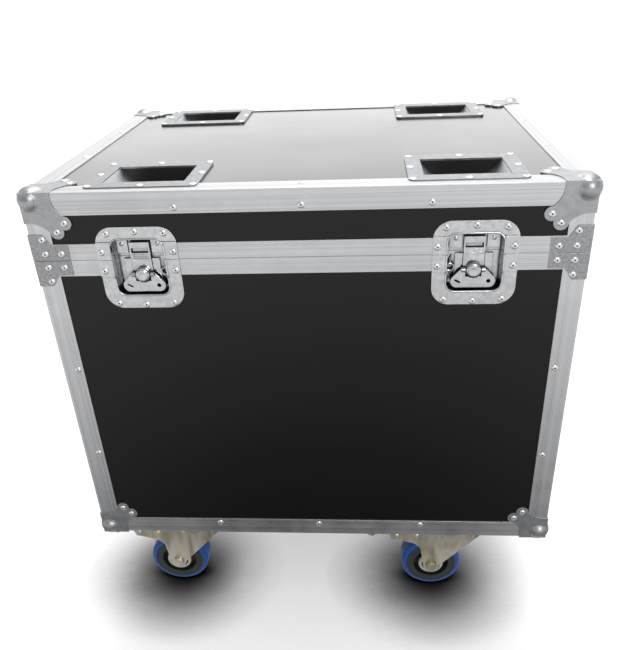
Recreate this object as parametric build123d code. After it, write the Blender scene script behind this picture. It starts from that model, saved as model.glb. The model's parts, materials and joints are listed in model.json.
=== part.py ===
from build123d import *

import math
import os

# Flight case for stage lighting: a shallow hinged lid on a deep base, on four swivel castors.
# Millimetres, +Z up, origin on the floor under the middle of the case, front face towards -Y.

# Driving sizes of the case
case_width = 720.0
case_depth = 530.0
case_height = 580.0
lid_height = 92.0
castor_height = 150.0

# Plywood panels and the aluminium profiles on their edges
panel_thickness = 9.5
angle_flange = 30.0
angle_wall = 1.5
angle_edge_radius = 1.2
closure_flange = 22.7
closure_wall = 1.5
closure_inner_flange = 14.0
base_web = 2.0
lid_web = 7.0
tongue_width = 3.0
tongue_height = 4.0
tongue_clearance = 0.6
seam = 0.4

# Gaps that keep separate pieces apart
cutout_clearance = 0.3
running_clearance = 0.08
overrun = 2.0

# Pressed steel ball corners and the braces at the parting line
ball_radius = 17.5
ball_inset = 10.5
sheet = 1.2
corner_leg = 40.0
corner_leg_edge = 9.0
corner_leg_bow = 2.5
lobe_near = 40.0
lobe_far = 52.0
lobe_radius = 9.5
brace_rise = 36.7
brace_arm_height = 21.0
brace_arm_length = 49.0
brace_upright_width = 28.0
brace_chamfer = 10.0
brace_chamfer_rise = 15.0
brace_gap = 0.5
brace_rivet_inset = 17.0
brace_rivet_far = 39.0
brace_rivet_low = 9.6
brace_rivet_high = 29.8

# Blind rivets
rivet_head_radius = 4.0
rivet_head_height = 1.5
rivet_shoulder_radius = 3.4
rivet_shoulder_height = 0.75
rivet_crown_radius = 2.4
rivet_crown_height = 1.3
rivet_hole_radius = 1.2
rivet_hole_depth = 0.8

# Places of the rivets along the edge profiles
edge_rivet_inset = 22.0
edge_rivet_front_shares = (-0.225, 0.0, 0.225)
edge_rivet_side_shares = (-0.16, 0.16)
upright_rivet_shares = (0.34, 0.69)

# Butterfly latches, set into the front across the parting line
latch_inset = 141.3
latch_half_width = 54.0
latch_rise = 45.0
latch_drop = 71.0
latch_corner = 24.0
latch_sheet = 1.5
latch_step_lap = 1.5
recess_half_width = 35.5
recess_rise = 28.0
recess_drop = 51.5
recess_corner = 12.0
pan_half_width = 36.5
pan_drop = 60.0
pan_depth = 14.0
pan_wall = 1.2
latch_rivet_wide = 48.0
latch_rivet_row_high = 11.0
latch_rivet_row_low = 15.5
latch_rivet_corner = 38.0
latch_rivet_top = 36.3
latch_rivet_top_middle = 38.8
latch_rivet_bottom = 63.8
latch_rivet_bottom_middle = 66.2

# Mechanism inside a latch, depths counted inwards from the front of the case
stud_drop = 24.0
stud_radius = 10.0
stud_front = 1.5
stud_back = 8.9
stud_dome = 3.0
stud_shaft_radius = 5.0
cam_radius = 6.5
cam_throw = 2.0
cam_front = 9.3
cam_back = 12.1
hook_front = 9.6
hook_back = 11.9
hook_half_width = 13.5
hook_top = 20.5
hook_step = 3.0
hook_step_height = 1.0
hook_bottom = 55.5
hook_window_half_width = 11.5
hook_window_low = 5.5
hook_window_high = 12.3
cam_slot_half_width = 8.9
cam_slot_half_height = 7.6
guide_gap = 0.6
guide_width = 10.0
guide_front = 11.0
guide_bottom = 57.0
bearing_front = 12.4
keeper_plate_inner = 16.0
keeper_plate_outer = 32.0
keeper_plate_low = 5.0
keeper_plate_high = 26.0
keeper_plate_front = 11.0
keeper_lip_half_width = 10.5
keeper_lip_low = 6.3
keeper_lip_high = 11.5
wing_front = 5.0
wing_thickness = 2.5
wing_lobe_side = 20.0
wing_lobe_drop = 16.0
wing_lobe_radius = 9.0
wing_hole_radius = 2.8
wing_notch_radius = 11.5
wing_shoulder_shares = (0.8, 0.6)
wing_slot_turn = -30.0
wing_arm_inner = 10.4
wing_arm_outer = 15.5
wing_arm_top = 2.0
wing_knuckle_radius = 3.0
trunnion_radius = 1.6

# Spring handles, set into the two sides
handle_drop = 190.0
handle_half_width = 84.0
handle_half_height = 59.0
handle_corner = 16.0
handle_sheet = 1.5
handle_recess_half_width = 68.0
handle_recess_half_height = 43.0
handle_recess_corner = 10.0
handle_recess_depth = 24.0
bail_rod_radius = 3.5
bail_half_width = 54.0
bail_pivot_rise = 30.0
bail_pivot_depth = 10.5
bail_length = 42.0
bail_bend_high = 4.0
bail_bend_low = 5.5
grip_radius = 9.5
grip_end_gap = 6.0
bail_pivot_reach = 66.0
bracket_inner = 58.2
bracket_half = 6.0
handle_rivet_wide = 76.0
handle_rivet_tall = 51.0

# Hinges on the back
hinge_inset = 170.0
hinge_leaf_width = 72.0
hinge_leaf_height = 40.0
hinge_leaf_thickness = 2.0
hinge_axis_offset = 5.8
hinge_knuckle_radius = 5.0
hinge_pin_radius = 3.0
hinge_knuckle_count = 5
hinge_knuckle_gap = 0.4
hinge_sweep_gap = 0.5
hinge_rivet_side = 26.0
hinge_rivet_height = 30.0
hinge_rivet_near = 14.0

# Dishes in the lid that take the wheels of a case stacked on top
dish_inset_x = 151.5
dish_inset_y = 75.0
dish_half_width = 75.0
dish_half_depth = 60.0
dish_corner = 9.0
dish_half_opening_x = 55.0
dish_half_opening_y = 38.0
dish_depth = 30.0
dish_sheet = 1.5
dish_rivet_x = 69.5
dish_rivet_y = 53.7

# Castors
wheel_radius = 50.0
tyre_thickness = 17.0
tyre_half_width = 18.0
tyre_shoulder = 7.0
hub_half_width = 20.2
hub_rim = 3.5
hub_web_half_width = 5.0
hub_boss_radius = 15.0
trail = 35.0
axle_radius = 5.0
axle_cap_radius = 9.5
axle_cap_height = 5.0
castor_plate_length = 105.0
castor_plate_depth = 83.0
castor_plate_thickness = 3.5
castor_plate_corner = 6.0
castor_bolt_x = 40.0
castor_bolt_y = 30.0
castor_bolt_radius = 4.0
castor_bolt_head_radius = 7.5
castor_bolt_head_height = 4.0
castor_bolt_socket_radius = 2.9
castor_bolt_socket_depth = 2.5
castor_bolt_gap = 0.25
castor_nut_radius = 6.5
castor_nut_height = 5.3
castor_inset_x = 139.0
castor_edge_gap = 10.0
race_radius = 33.0
race_height = 3.5
swivel_gap = 0.4
cup_radius = 38.0
cup_height = 7.0
cup_round = 3.0
kingpin_radius = 6.0
kingpin_head_radius = 11.0
kingpin_head_height = 8.0
fork_sheet = 3.0
fork_top_sheet = 4.0
fork_inner = 20.6
fork_nose = 42.0
fork_nose_height = 15.0
fork_end_radius = 13.0
fork_bridge = 10.0
fork_hip = 19.0
fork_hip_height = 41.0
fork_elbow = 29.0
fork_elbow_height = 51.0
fork_arm_low = 56.0
fork_arm_low_height = 59.5
fork_arm_end = 63.0
fork_arm_end_height = 63.5
fork_arm_top_height = 76.0
pedal_pivot = 26.0
pedal_pivot_height = 70.0
pedal_pin_radius = 2.5
pedal_half_width = 19.0
pedal_sheet = 2.5
pedal_cheek = 3.0
pedal_start = 14.0
pedal_bend = 79.0
pedal_dip = 100.5
pedal_tip = 111.0
pedal_start_height = 80.0
pedal_bend_height = 77.0
pedal_dip_height = 64.5
pedal_tip_height = 71.0
cheek_back = 71.0
cheek_back_height = 66.0
cheek_heel = 68.0
cheek_heel_height = 56.5
cheek_low_end = 56.0
cheek_low_end_height = 54.0
cheek_low_start = 21.0
cheek_low_start_height = 64.0
shoe_half_width = 6.0
shoe_sheet = 3.0
shoe_root = 45.0
shoe_knee = 44.0
shoe_knee_height = 55.0
shoe_end = 51.0
shoe_end_height = 38.0

# Places that follow from the sizes above
half_width = case_width / 2
half_depth = case_depth / 2
case_bottom = castor_height
case_top = castor_height + case_height
parting = case_top - lid_height
front = -half_depth
back = half_depth
panel_out_x = half_width - angle_wall
panel_out_y = half_depth - angle_wall
panel_in_x = panel_out_x - panel_thickness
panel_in_y = panel_out_y - panel_thickness
base_floor = case_bottom + angle_wall + panel_thickness
base_edge = parting - seam / 2 - base_web
lid_edge = parting + seam / 2 + lid_web
lid_ceiling = case_top - angle_wall - panel_thickness
closure_depth = panel_thickness + angle_wall + closure_wall
stud_height = parting - stud_drop
handle_height = parting - handle_drop
latch_place = half_width - latch_inset
hinge_place = half_width - hinge_inset
dish_place_x = half_width - dish_inset_x
dish_place_y = half_depth - dish_inset_y
castor_place_x = half_width - castor_inset_x
castor_place_y = half_depth - castor_edge_gap - castor_plate_depth / 2
castor_plate_top = case_bottom
castor_plate_bottom = castor_plate_top - castor_plate_thickness
race_bottom = castor_plate_bottom - race_height
cup_top = race_bottom - swivel_gap
cup_bottom = cup_top - cup_height
fork_top_bottom = cup_bottom - fork_top_sheet


def block(x_range, y_range, z_range):
    """A box between three pairs of limits."""
    lows = [min(pair) for pair in (x_range, y_range, z_range)]
    highs = [max(pair) for pair in (x_range, y_range, z_range)]
    sizes = [high - low for low, high in zip(lows, highs)]
    middle = [(high + low) / 2 for low, high in zip(lows, highs)]
    return Pos(*middle) * Box(*sizes)


def fuse(pieces):
    """One body out of pieces that touch or overlap."""
    pieces = list(pieces)
    whole = pieces[0]
    for piece in pieces[1:]:
        whole = whole + piece
    return whole


def turned(shape, plane):
    """The shape drawn about the origin, set on a plane."""
    return plane.location * shape


def in_four_corners(shape):
    """The shape in the front left corner and its mirror images in the other three."""
    right = mirror(shape, about=Plane.YZ)
    behind = mirror(shape, about=Plane.XZ)
    return [shape, right, behind, mirror(right, about=Plane.XZ)]


def save(name, *solids):
    """Write one piece, or a group of like pieces, to its own file."""
    loose = []
    for solid in solids:
        loose.extend(solid.solids())
    shape = loose[0] if len(loose) == 1 else Compound(children=loose)
    export_step(shape, os.path.join("parts", name + ".step"))


def rivet():
    """Head of a blind rivet on the XY plane: pressed in three slopes round the mandrel's hole."""
    with BuildPart() as made:
        with BuildSketch(Plane.XZ):
            with BuildLine():
                Polyline(
                    (0, 0),
                    (rivet_head_radius, 0),
                    (rivet_shoulder_radius, rivet_shoulder_height),
                    (rivet_crown_radius, rivet_crown_height),
                    (rivet_hole_radius, rivet_head_height),
                    (rivet_hole_radius, rivet_head_height - rivet_hole_depth),
                    (0, rivet_head_height - rivet_hole_depth),
                    close=True,
                )
            make_face()
        revolve(axis=Axis.Z)
    return made.part


ONE_RIVET = rivet()


def rivets_on(points, outward):
    """A rivet at each point of a surface, head outwards."""
    return [turned(ONE_RIVET, Plane(origin=point, z_dir=outward)) for point in points]


def latch_cutouts():
    """What the two latch dishes need cut out of the front panels and closure profiles."""
    reach = pan_wall + cutout_clearance
    cuts = []
    for side in (-1, 1):
        middle = side * latch_place
        cuts.append(
            block(
                (middle - pan_half_width - reach, middle + pan_half_width + reach),
                (front - overrun, front + closure_depth + overrun),
                (parting - pan_drop - reach, parting + recess_rise + reach),
            )
        )
    return cuts


def handle_cutout(side):
    """The hole in a side panel for a handle dish."""
    reach = handle_sheet + cutout_clearance
    return block(
        (side * (panel_in_x - overrun), side * (half_width + overrun)),
        (-handle_recess_half_width - reach, handle_recess_half_width + reach),
        (
            handle_height - handle_recess_half_height - reach,
            handle_height + handle_recess_half_height + reach,
        ),
    )


def base_panels():
    """Front, back, two sides and the floor, whose middle stands down between the bottom angles."""
    rebate_x = half_width - angle_flange - cutout_clearance
    rebate_y = half_depth - angle_flange - cutout_clearance
    floor = block(
        (-panel_in_x, panel_in_x),
        (-panel_in_y, panel_in_y),
        (case_bottom + angle_wall, base_floor),
    )
    boss = block(
        (-rebate_x, rebate_x), (-rebate_y, rebate_y), (case_bottom, case_bottom + angle_wall)
    )
    corner_reach = lobe_far + lobe_radius + cutout_clearance
    corner = block(
        (-half_width, -half_width + corner_reach),
        (front, front + corner_reach),
        (case_bottom - overrun, case_bottom + angle_wall),
    )
    floor = floor + (boss - in_four_corners(corner))
    for _, _, spot in castor_places():
        for hole in castor_bolt_holes(case_bottom, base_floor):
            floor = floor - spot * hole
        for recess in castor_bolt_heads(castor_bolt_gap):
            floor = floor - spot * recess
    save("base_bottom_panel", floor)
    wall_z = (case_bottom + angle_wall, base_edge)
    front_wall = block((-panel_in_x, panel_in_x), (-panel_out_y, -panel_in_y), wall_z)
    for cut in latch_cutouts():
        front_wall = front_wall - cut
    save("base_front_panel", front_wall)
    save(
        "base_back_panel",
        block((-panel_in_x, panel_in_x), (panel_in_y, panel_out_y), wall_z),
    )
    for name, side in (("left", -1), ("right", 1)):
        wall = block(
            (side * panel_in_x, side * panel_out_x), (-panel_out_y, panel_out_y), wall_z
        )
        save(f"base_{name}_panel", wall - handle_cutout(side))


def lid_panels():
    """Top and four low walls of the lid."""
    top = block(
        (-panel_out_x, panel_out_x),
        (-panel_out_y, panel_out_y),
        (lid_ceiling, case_top - angle_wall),
    )
    for dish_x, dish_y in dish_places():
        top = top - Pos(dish_x, dish_y, 0) * dish_trough(dish_sheet + cutout_clearance)
    save("lid_top_panel", top)
    wall_z = (lid_edge, lid_ceiling)
    front_wall = block((-panel_in_x, panel_in_x), (-panel_out_y, -panel_in_y), wall_z)
    for cut in latch_cutouts():
        front_wall = front_wall - cut
    save("lid_front_panel", front_wall)
    save(
        "lid_back_panel",
        block((-panel_in_x, panel_in_x), (panel_in_y, panel_out_y), wall_z),
    )
    for name, side in (("left", -1), ("right", 1)):
        wall = block(
            (side * panel_in_x, side * panel_out_x), (-panel_out_y, panel_out_y), wall_z
        )
        save(f"lid_{name}_panel", wall)


def mitred(profile, length, reach):
    """A profile drawn in (inwards, up), run along X at the front and mitred at both ends."""
    along = Plane(origin=(-length / 2, front, 0), x_dir=(0, 1, 0), z_dir=(1, 0, 0))
    bar = extrude(along * profile, amount=length)
    corners = [
        (-length / 2, 0),
        (length / 2, 0),
        (length / 2 - reach, reach),
        (-length / 2 + reach, reach),
    ]
    low = bar.bounding_box().min.Z - overrun
    high = bar.bounding_box().max.Z + overrun
    outline = Polyline(*[(x, front + y) for x, y in corners], close=True)
    mitre = extrude(Pos(0, 0, low) * make_face(outline), amount=high - low)
    return bar & mitre


def around(profile, reach):
    """Four mitred rails round the case: front, back, left and right."""
    long_rail = mitred(profile, case_width, reach)
    short_rail = mitred(profile, case_depth, reach)
    inward_shift = half_width - half_depth
    left = Pos(-inward_shift, 0, 0) * (Rot(0, 0, -90) * short_rail)
    return [long_rail, mirror(long_rail, about=Plane.XZ), left, mirror(left, about=Plane.YZ)]


def angle_section(level, up):
    """L section in (inwards, up): its corner on the outer edge at a level, legs going in and up."""
    outer = Pos(angle_flange / 2, level + up * angle_flange / 2) * Rectangle(
        angle_flange, angle_flange
    )
    hollow_side = angle_flange - angle_wall
    hollow = Pos(
        angle_wall + hollow_side / 2, level + up * (angle_wall + hollow_side / 2)
    ) * Rectangle(hollow_side, hollow_side)
    section = outer - hollow
    corner = section.vertices().sort_by_distance(Vector(0, level, 0))[0]
    return fillet(corner, angle_edge_radius)


def upright_angles(low, high):
    """The four vertical angles between two heights."""
    flange_x = block(
        (-half_width, -half_width + angle_flange), (front, front + angle_wall), (low, high)
    )
    flange_y = block(
        (-half_width, -half_width + angle_wall), (front, front + angle_flange), (low, high)
    )
    angle = flange_x + flange_y
    edge = angle.edges().filter_by(Axis.Z).sort_by_distance(Vector(-half_width, front, low))[0]
    return in_four_corners(fillet(edge, angle_edge_radius))


def edge_angles():
    """Aluminium angles on every outer edge of the base and of the lid."""
    bottom_rails = around(angle_section(case_bottom, 1), angle_flange)
    for row, _, spot in castor_places():
        rail = ("front", "rear").index(row)
        for hole in castor_bolt_holes(case_bottom, case_bottom + angle_wall):
            bottom_rails[rail] = bottom_rails[rail] - spot * hole
    save(
        "base_angles",
        *bottom_rails,
        *upright_angles(case_bottom + angle_flange, parting - closure_flange),
    )
    save(
        "lid_angles",
        *around(angle_section(case_top, -1), angle_flange),
        *upright_angles(parting + closure_flange, case_top - angle_flange),
    )


def rectangle_between(x_pair, y_pair):
    """A flat rectangle between two pairs of limits."""
    middle = ((x_pair[0] + x_pair[1]) / 2, (y_pair[0] + y_pair[1]) / 2)
    return Pos(*middle) * Rectangle(abs(x_pair[1] - x_pair[0]), abs(y_pair[1] - y_pair[0]))


def closure_rails():
    """The two closure profiles that meet at the parting line: a tongue below, a groove above."""
    tongue_middle = closure_depth / 2
    base_top = parting - seam / 2
    base_section = fuse(
        [
            rectangle_between((0, closure_wall), (parting - closure_flange, base_top)),
            rectangle_between((0, closure_depth), (base_edge, base_top)),
            rectangle_between(
                (closure_depth - closure_wall, closure_depth),
                (parting - closure_inner_flange, base_top),
            ),
            rectangle_between(
                (tongue_middle - tongue_width / 2, tongue_middle + tongue_width / 2),
                (base_edge, parting + tongue_height),
            ),
        ]
    )
    lid_bottom = parting + seam / 2
    groove_half = tongue_width / 2 + tongue_clearance
    lid_section = fuse(
        [
            rectangle_between((0, closure_wall), (lid_bottom, parting + closure_flange)),
            rectangle_between((0, closure_depth), (lid_bottom, lid_edge)),
            rectangle_between(
                (closure_depth - closure_wall, closure_depth),
                (lid_bottom, parting + closure_inner_flange),
            ),
        ]
    ) - rectangle_between(
        (tongue_middle - groove_half, tongue_middle + groove_half),
        (lid_bottom - overrun, parting + tongue_height + tongue_clearance),
    )
    for name, section in (("base", base_section), ("lid", lid_section)):
        rails = around(section, closure_depth)
        for cut in latch_cutouts():
            rails[0] = rails[0] - cut
        save(f"{name}_closure_rails", *rails)


def ball_plate_outline():
    """Flat plate of a ball corner: two legs along the edges, bowed edges, two round lobes."""
    mid = (lobe_near + lobe_far) / 2
    half_gap = (lobe_far - lobe_near) / math.sqrt(2)
    notch = mid + math.sqrt(lobe_radius**2 - half_gap**2) / math.sqrt(2)
    lobe_low = lobe_near - lobe_radius
    run = (lobe_far - corner_leg, lobe_low - corner_leg_edge)
    length = math.hypot(*run)
    bow_x = (corner_leg + lobe_far) / 2 - corner_leg_bow * run[1] / length
    bow_y = (corner_leg_edge + lobe_low) / 2 + corner_leg_bow * run[0] / length
    with BuildSketch() as plate:
        with BuildLine():
            Polyline((-sheet, -sheet), (corner_leg, -sheet), (corner_leg, corner_leg_edge))
            ThreePointArc((corner_leg, corner_leg_edge), (bow_x, bow_y), (lobe_far, lobe_low))
            ThreePointArc(
                (lobe_far, lobe_low), (lobe_far + lobe_radius, lobe_near), (notch, notch)
            )
            ThreePointArc(
                (notch, notch), (lobe_near, lobe_far + lobe_radius), (lobe_low, lobe_far)
            )
            ThreePointArc((lobe_low, lobe_far), (bow_y, bow_x), (corner_leg_edge, corner_leg))
            Polyline((corner_leg_edge, corner_leg), (-sheet, corner_leg), (-sheet, -sheet))
        make_face()
    return plate.sketch


def ball_plate():
    """A plate of a ball corner on the XY plane, its lobes reaching down to the panel."""
    outline = ball_plate_outline()
    reach = lobe_far + lobe_radius + overrun
    beyond = rectangle_between(
        (angle_flange + cutout_clearance, reach), (angle_flange + cutout_clearance, reach)
    )
    upper = extrude(outline, amount=sheet)
    lower = extrude(Pos(0, 0, -angle_wall) * (outline & beyond), amount=angle_wall)
    return upper + lower


def ball_corner():
    """Pressed corner with a round ball, at the front left top corner of the case."""
    corner = (-half_width, front, case_top)
    inside = block(
        (-half_width, -half_width + 2 * ball_radius),
        (front, front + 2 * ball_radius),
        (case_top - 2 * ball_radius, case_top),
    )
    middle = (-half_width + ball_inset, front + ball_inset, case_top - ball_inset)
    poles_inside = Plane(origin=middle, z_dir=(1, 1, 1))
    ball = turned(Sphere(ball_radius), poles_inside) - inside
    plate = ball_plate()
    top = turned(plate, Plane(origin=corner, x_dir=(1, 0, 0), z_dir=(0, 0, 1)))
    face = turned(
        mirror(plate, about=Plane.XZ), Plane(origin=corner, x_dir=(1, 0, 0), z_dir=(0, -1, 0))
    )
    cheek = turned(
        mirror(plate, about=Plane.XZ), Plane(origin=corner, x_dir=(0, -1, 0), z_dir=(-1, 0, 0))
    )
    cheek = mirror(cheek, about=Plane.XZ.offset(-front))
    return ball + top + face + cheek


def upside_down(shape):
    """The same piece at the bottom of the case instead of the top."""
    return mirror(shape, about=Plane.XY.offset((case_bottom + case_top) / 2))


def ball_corners():
    """Eight ball corners, four on the lid and four on the base."""
    corner = ball_corner()
    save("lid_ball_corners", *in_four_corners(corner))
    save("base_ball_corners", *in_four_corners(upside_down(corner)))


def brace_outline():
    """L-shaped brace face in (along, up) from the corner, with one corner cut off."""
    shoulder = brace_upright_width - brace_chamfer
    outline = Polyline(
        (0, brace_gap),
        (brace_arm_length, brace_gap),
        (brace_arm_length, brace_arm_height),
        (brace_upright_width, brace_arm_height),
        (shoulder, brace_rise),
        (0, brace_rise),
        close=True,
    )
    return make_face(outline)


def corner_braces():
    """Bent plates that tie the closure profiles to the uprights, above and below the parting."""
    corner = (-half_width, front, parting)
    face = extrude(
        Plane(origin=corner, x_dir=(1, 0, 0), z_dir=(0, -1, 0)) * brace_outline(), amount=sheet
    )
    side = extrude(
        Plane(origin=corner, x_dir=(0, 1, 0), z_dir=(1, 0, 0)) * brace_outline(), amount=-sheet
    )
    fold = block(
        (-half_width - sheet, -half_width),
        (front - sheet, front),
        (parting + brace_gap, parting + brace_rise),
    )
    upper = face + side + fold
    save("lid_corner_braces", *in_four_corners(upper))
    lower = mirror(upper, about=Plane.XY.offset(parting))
    save("base_corner_braces", *in_four_corners(lower))


def rounded_outline(half_x, low, high, corner):
    """Rounded rectangle, centred across and running from low to high."""
    return Pos(0, (low + high) / 2) * RectangleRounded(2 * half_x, high - low, corner)


def front_plane(depth):
    """Plane parallel to the front, a depth inside it, its origin on the parting line."""
    return Plane(origin=(0, front + depth, parting), x_dir=(1, 0, 0), z_dir=(0, -1, 0))


def front_prism(sketch, near, far):
    """A sketch in (across, up from the parting) carried between two depths."""
    return extrude(front_plane(far) * sketch, amount=far - near)


def front_block(across, up, depth):
    """A box given across, up from the parting line and by depth inside the front."""
    return block(
        across, (front + depth[0], front + depth[1]), (parting + up[0], parting + up[1])
    )


def latch_half(part_of, pan_low, pan_high, near_range, far_range):
    """One half of a latch dish: stepped flange, and a pan behind the recess."""
    outline = rounded_outline(latch_half_width, -latch_drop, latch_rise, latch_corner)
    opening = rounded_outline(recess_half_width, -recess_drop, recess_rise, recess_corner)
    wide = (-latch_half_width - overrun, latch_half_width + overrun)
    flat = front_prism(outline - opening, -latch_sheet, latch_sheet)
    steps = fuse(
        [
            front_block(wide, near_range, (-latch_sheet, 0)),
            front_block(wide, far_range, (0, latch_sheet)),
        ]
    )
    flange = flat & steps
    corner = recess_corner
    outer = rounded_outline(
        pan_half_width + pan_wall, pan_low - pan_wall, pan_high + pan_wall, corner + pan_wall
    )
    inner = rounded_outline(pan_half_width, pan_low, pan_high, corner)
    pan = front_prism(outer, latch_sheet, pan_depth + pan_wall) - front_prism(
        inner, 0, pan_depth
    )
    collar = front_prism(
        rounded_outline(
            recess_half_width + pan_wall,
            -recess_drop - pan_wall,
            recess_rise + pan_wall,
            corner + pan_wall,
        )
        - opening,
        -latch_sheet,
        latch_sheet,
    )
    collar = collar & steps
    return (flange + collar + pan) & part_of


def latch_base_dish():
    """Lower half of a latch: flange and pan, guides and the bearing plate of the stud."""
    reach = (-latch_half_width - overrun, latch_half_width + overrun)
    below = front_block(
        reach, (-latch_drop - overrun, -seam / 2), (-2 * overrun, pan_depth + 2 * overrun)
    )
    step = closure_flange + cutout_clearance
    dish = latch_half(
        below,
        -pan_drop,
        recess_rise,
        (-step - latch_step_lap, 0),
        (-latch_drop - overrun, -step),
    )
    inner = hook_half_width + guide_gap
    for side in (-1, 1):
        dish = dish + front_block(
            (side * inner, side * (inner + guide_width)),
            (-guide_bottom, -hook_step),
            (guide_front, pan_depth),
        )
    plate = front_block(
        (-inner, inner), (-guide_bottom, -hook_step), (bearing_front, pan_depth)
    )
    bore = front_prism(
        Pos(0, -stud_drop) * Circle(stud_shaft_radius + running_clearance),
        bearing_front - overrun,
        pan_depth,
    )
    return dish + (plate - bore)


def latch_keeper_dish():
    """Upper half of a latch: flange and pan, two riveted plates and the keeper's lip."""
    reach = (-latch_half_width - overrun, latch_half_width + overrun)
    above = front_block(
        reach, (seam / 2, latch_rise + overrun), (-2 * overrun, pan_depth + 2 * overrun)
    )
    step = closure_flange + cutout_clearance
    dish = latch_half(
        above,
        -pan_drop,
        recess_rise,
        (0, step + latch_step_lap),
        (step, latch_rise + overrun),
    )
    for side in (-1, 1):
        dish = dish + front_block(
            (side * keeper_plate_inner, side * keeper_plate_outer),
            (keeper_plate_low, keeper_plate_high),
            (keeper_plate_front, pan_depth),
        )
    lip = front_block(
        (-keeper_lip_half_width, keeper_lip_half_width),
        (keeper_lip_low, keeper_lip_high),
        (hook_back + cutout_clearance, pan_depth),
    )
    return dish + lip


def latch_hook():
    """Draw plate that the cam lifts: window for the keeper above, cam slot below."""
    plate = front_block(
        (-hook_half_width, hook_half_width), (-hook_bottom, hook_top), (hook_front, hook_back)
    )
    head = front_block(
        (-hook_half_width, hook_half_width),
        (-hook_step, hook_top),
        (hook_front - hook_step_height, hook_front),
    )
    window = front_block(
        (-hook_window_half_width, hook_window_half_width),
        (hook_window_low, hook_window_high),
        (0, pan_depth),
    )
    slot_middle = -stud_drop - cam_throw
    slot = front_block(
        (-cam_slot_half_width, cam_slot_half_width),
        (slot_middle - cam_slot_half_height, slot_middle + cam_slot_half_height),
        (0, pan_depth),
    )
    return plate + head - window - slot


def latch_stud():
    """Round stud with its cam, shaft and the trunnions of the wing."""
    face = Pos(0, -stud_drop) * Circle(stud_radius)
    knob = front_prism(face, stud_front, stud_back)
    rim = knob.faces().sort_by(Axis.Y)[0].edges()
    knob = fillet(rim, stud_dome)
    shaft = front_prism(
        Pos(0, -stud_drop) * Circle(stud_shaft_radius), stud_back, pan_depth - cutout_clearance
    )
    cam = front_prism(
        Pos(0, -stud_drop - cam_throw) * Circle(cam_radius), cam_front, cam_back
    )
    reach = wing_arm_outer - cutout_clearance
    wing_middle = wing_front + wing_thickness / 2
    trunnions = Pos(0, front + wing_middle, stud_height) * (
        Rot(0, 90, 0) * Cylinder(trunnion_radius, 2 * reach)
    )
    return knob + shaft + cam + trunnions


def latch_wing():
    """Butterfly wing, folded down flat: two lobes with holes, a notch for the stud."""
    shoulder_x = wing_lobe_side + wing_lobe_radius * wing_shoulder_shares[0]
    shoulder_y = -wing_lobe_drop + wing_lobe_radius * wing_shoulder_shares[1]
    with BuildSketch() as plate:
        with BuildLine():
            Polyline(
                (-wing_lobe_side, -wing_lobe_drop - wing_lobe_radius),
                (wing_lobe_side, -wing_lobe_drop - wing_lobe_radius),
                (shoulder_x, shoulder_y),
                (wing_arm_outer, wing_arm_top),
                (-wing_arm_outer, wing_arm_top),
                (-shoulder_x, shoulder_y),
                close=True,
            )
        make_face()
        with Locations((-wing_lobe_side, -wing_lobe_drop), (wing_lobe_side, -wing_lobe_drop)):
            Circle(wing_lobe_radius)
        Circle(wing_notch_radius, mode=Mode.SUBTRACT)
        with Locations((wing_lobe_side, -wing_lobe_drop)):
            Circle(wing_hole_radius, mode=Mode.SUBTRACT)
        with Locations((-wing_lobe_side, -wing_lobe_drop)):
            SlotOverall(
                3 * wing_hole_radius,
                wing_hole_radius,
                rotation=wing_slot_turn,
                mode=Mode.SUBTRACT,
            )
        with Locations((0, wing_arm_top)):
            Rectangle(2 * wing_arm_inner, 2 * wing_notch_radius, mode=Mode.SUBTRACT)
    sketch = Pos(0, -stud_drop) * plate.sketch
    wing = front_prism(sketch, wing_front, wing_front + wing_thickness)
    axis_depth = wing_front + wing_thickness / 2
    length = wing_arm_outer - wing_arm_inner
    for side in (-1, 1):
        centre = side * (wing_arm_inner + wing_arm_outer) / 2
        spot = Pos(centre, front + axis_depth, stud_height) * Rot(0, 90, 0)
        wing = wing + spot * Cylinder(wing_knuckle_radius, length)
    for side in (-1, 1):
        centre = side * (wing_arm_inner + wing_arm_outer) / 2
        spot = Pos(centre, front + axis_depth, stud_height) * Rot(0, 90, 0)
        wing = wing - spot * Cylinder(trunnion_radius + running_clearance, length + overrun)
    return wing


def latches():
    """Two butterfly latches on the front."""
    pieces = {
        "latch_dish": latch_base_dish(),
        "latch_keeper": latch_keeper_dish(),
        "latch_hook": latch_hook(),
        "latch_stud": latch_stud(),
        "latch_wing": latch_wing(),
    }
    for name, side in (("left", -1), ("right", 1)):
        for piece, shape in pieces.items():
            save(f"{piece}_{name}", Pos(side * latch_place, 0, 0) * shape)


def side_plane(depth):
    """Plane parallel to the right side, a depth inside it, its origin at the handle's middle."""
    return Plane(
        origin=(half_width - depth, 0, handle_height), x_dir=(0, 1, 0), z_dir=(1, 0, 0)
    )


def side_prism(sketch, near, far):
    """A sketch in (along the side, up) carried between two depths inside the right side."""
    return extrude(side_plane(far) * sketch, amount=far - near)


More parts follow.
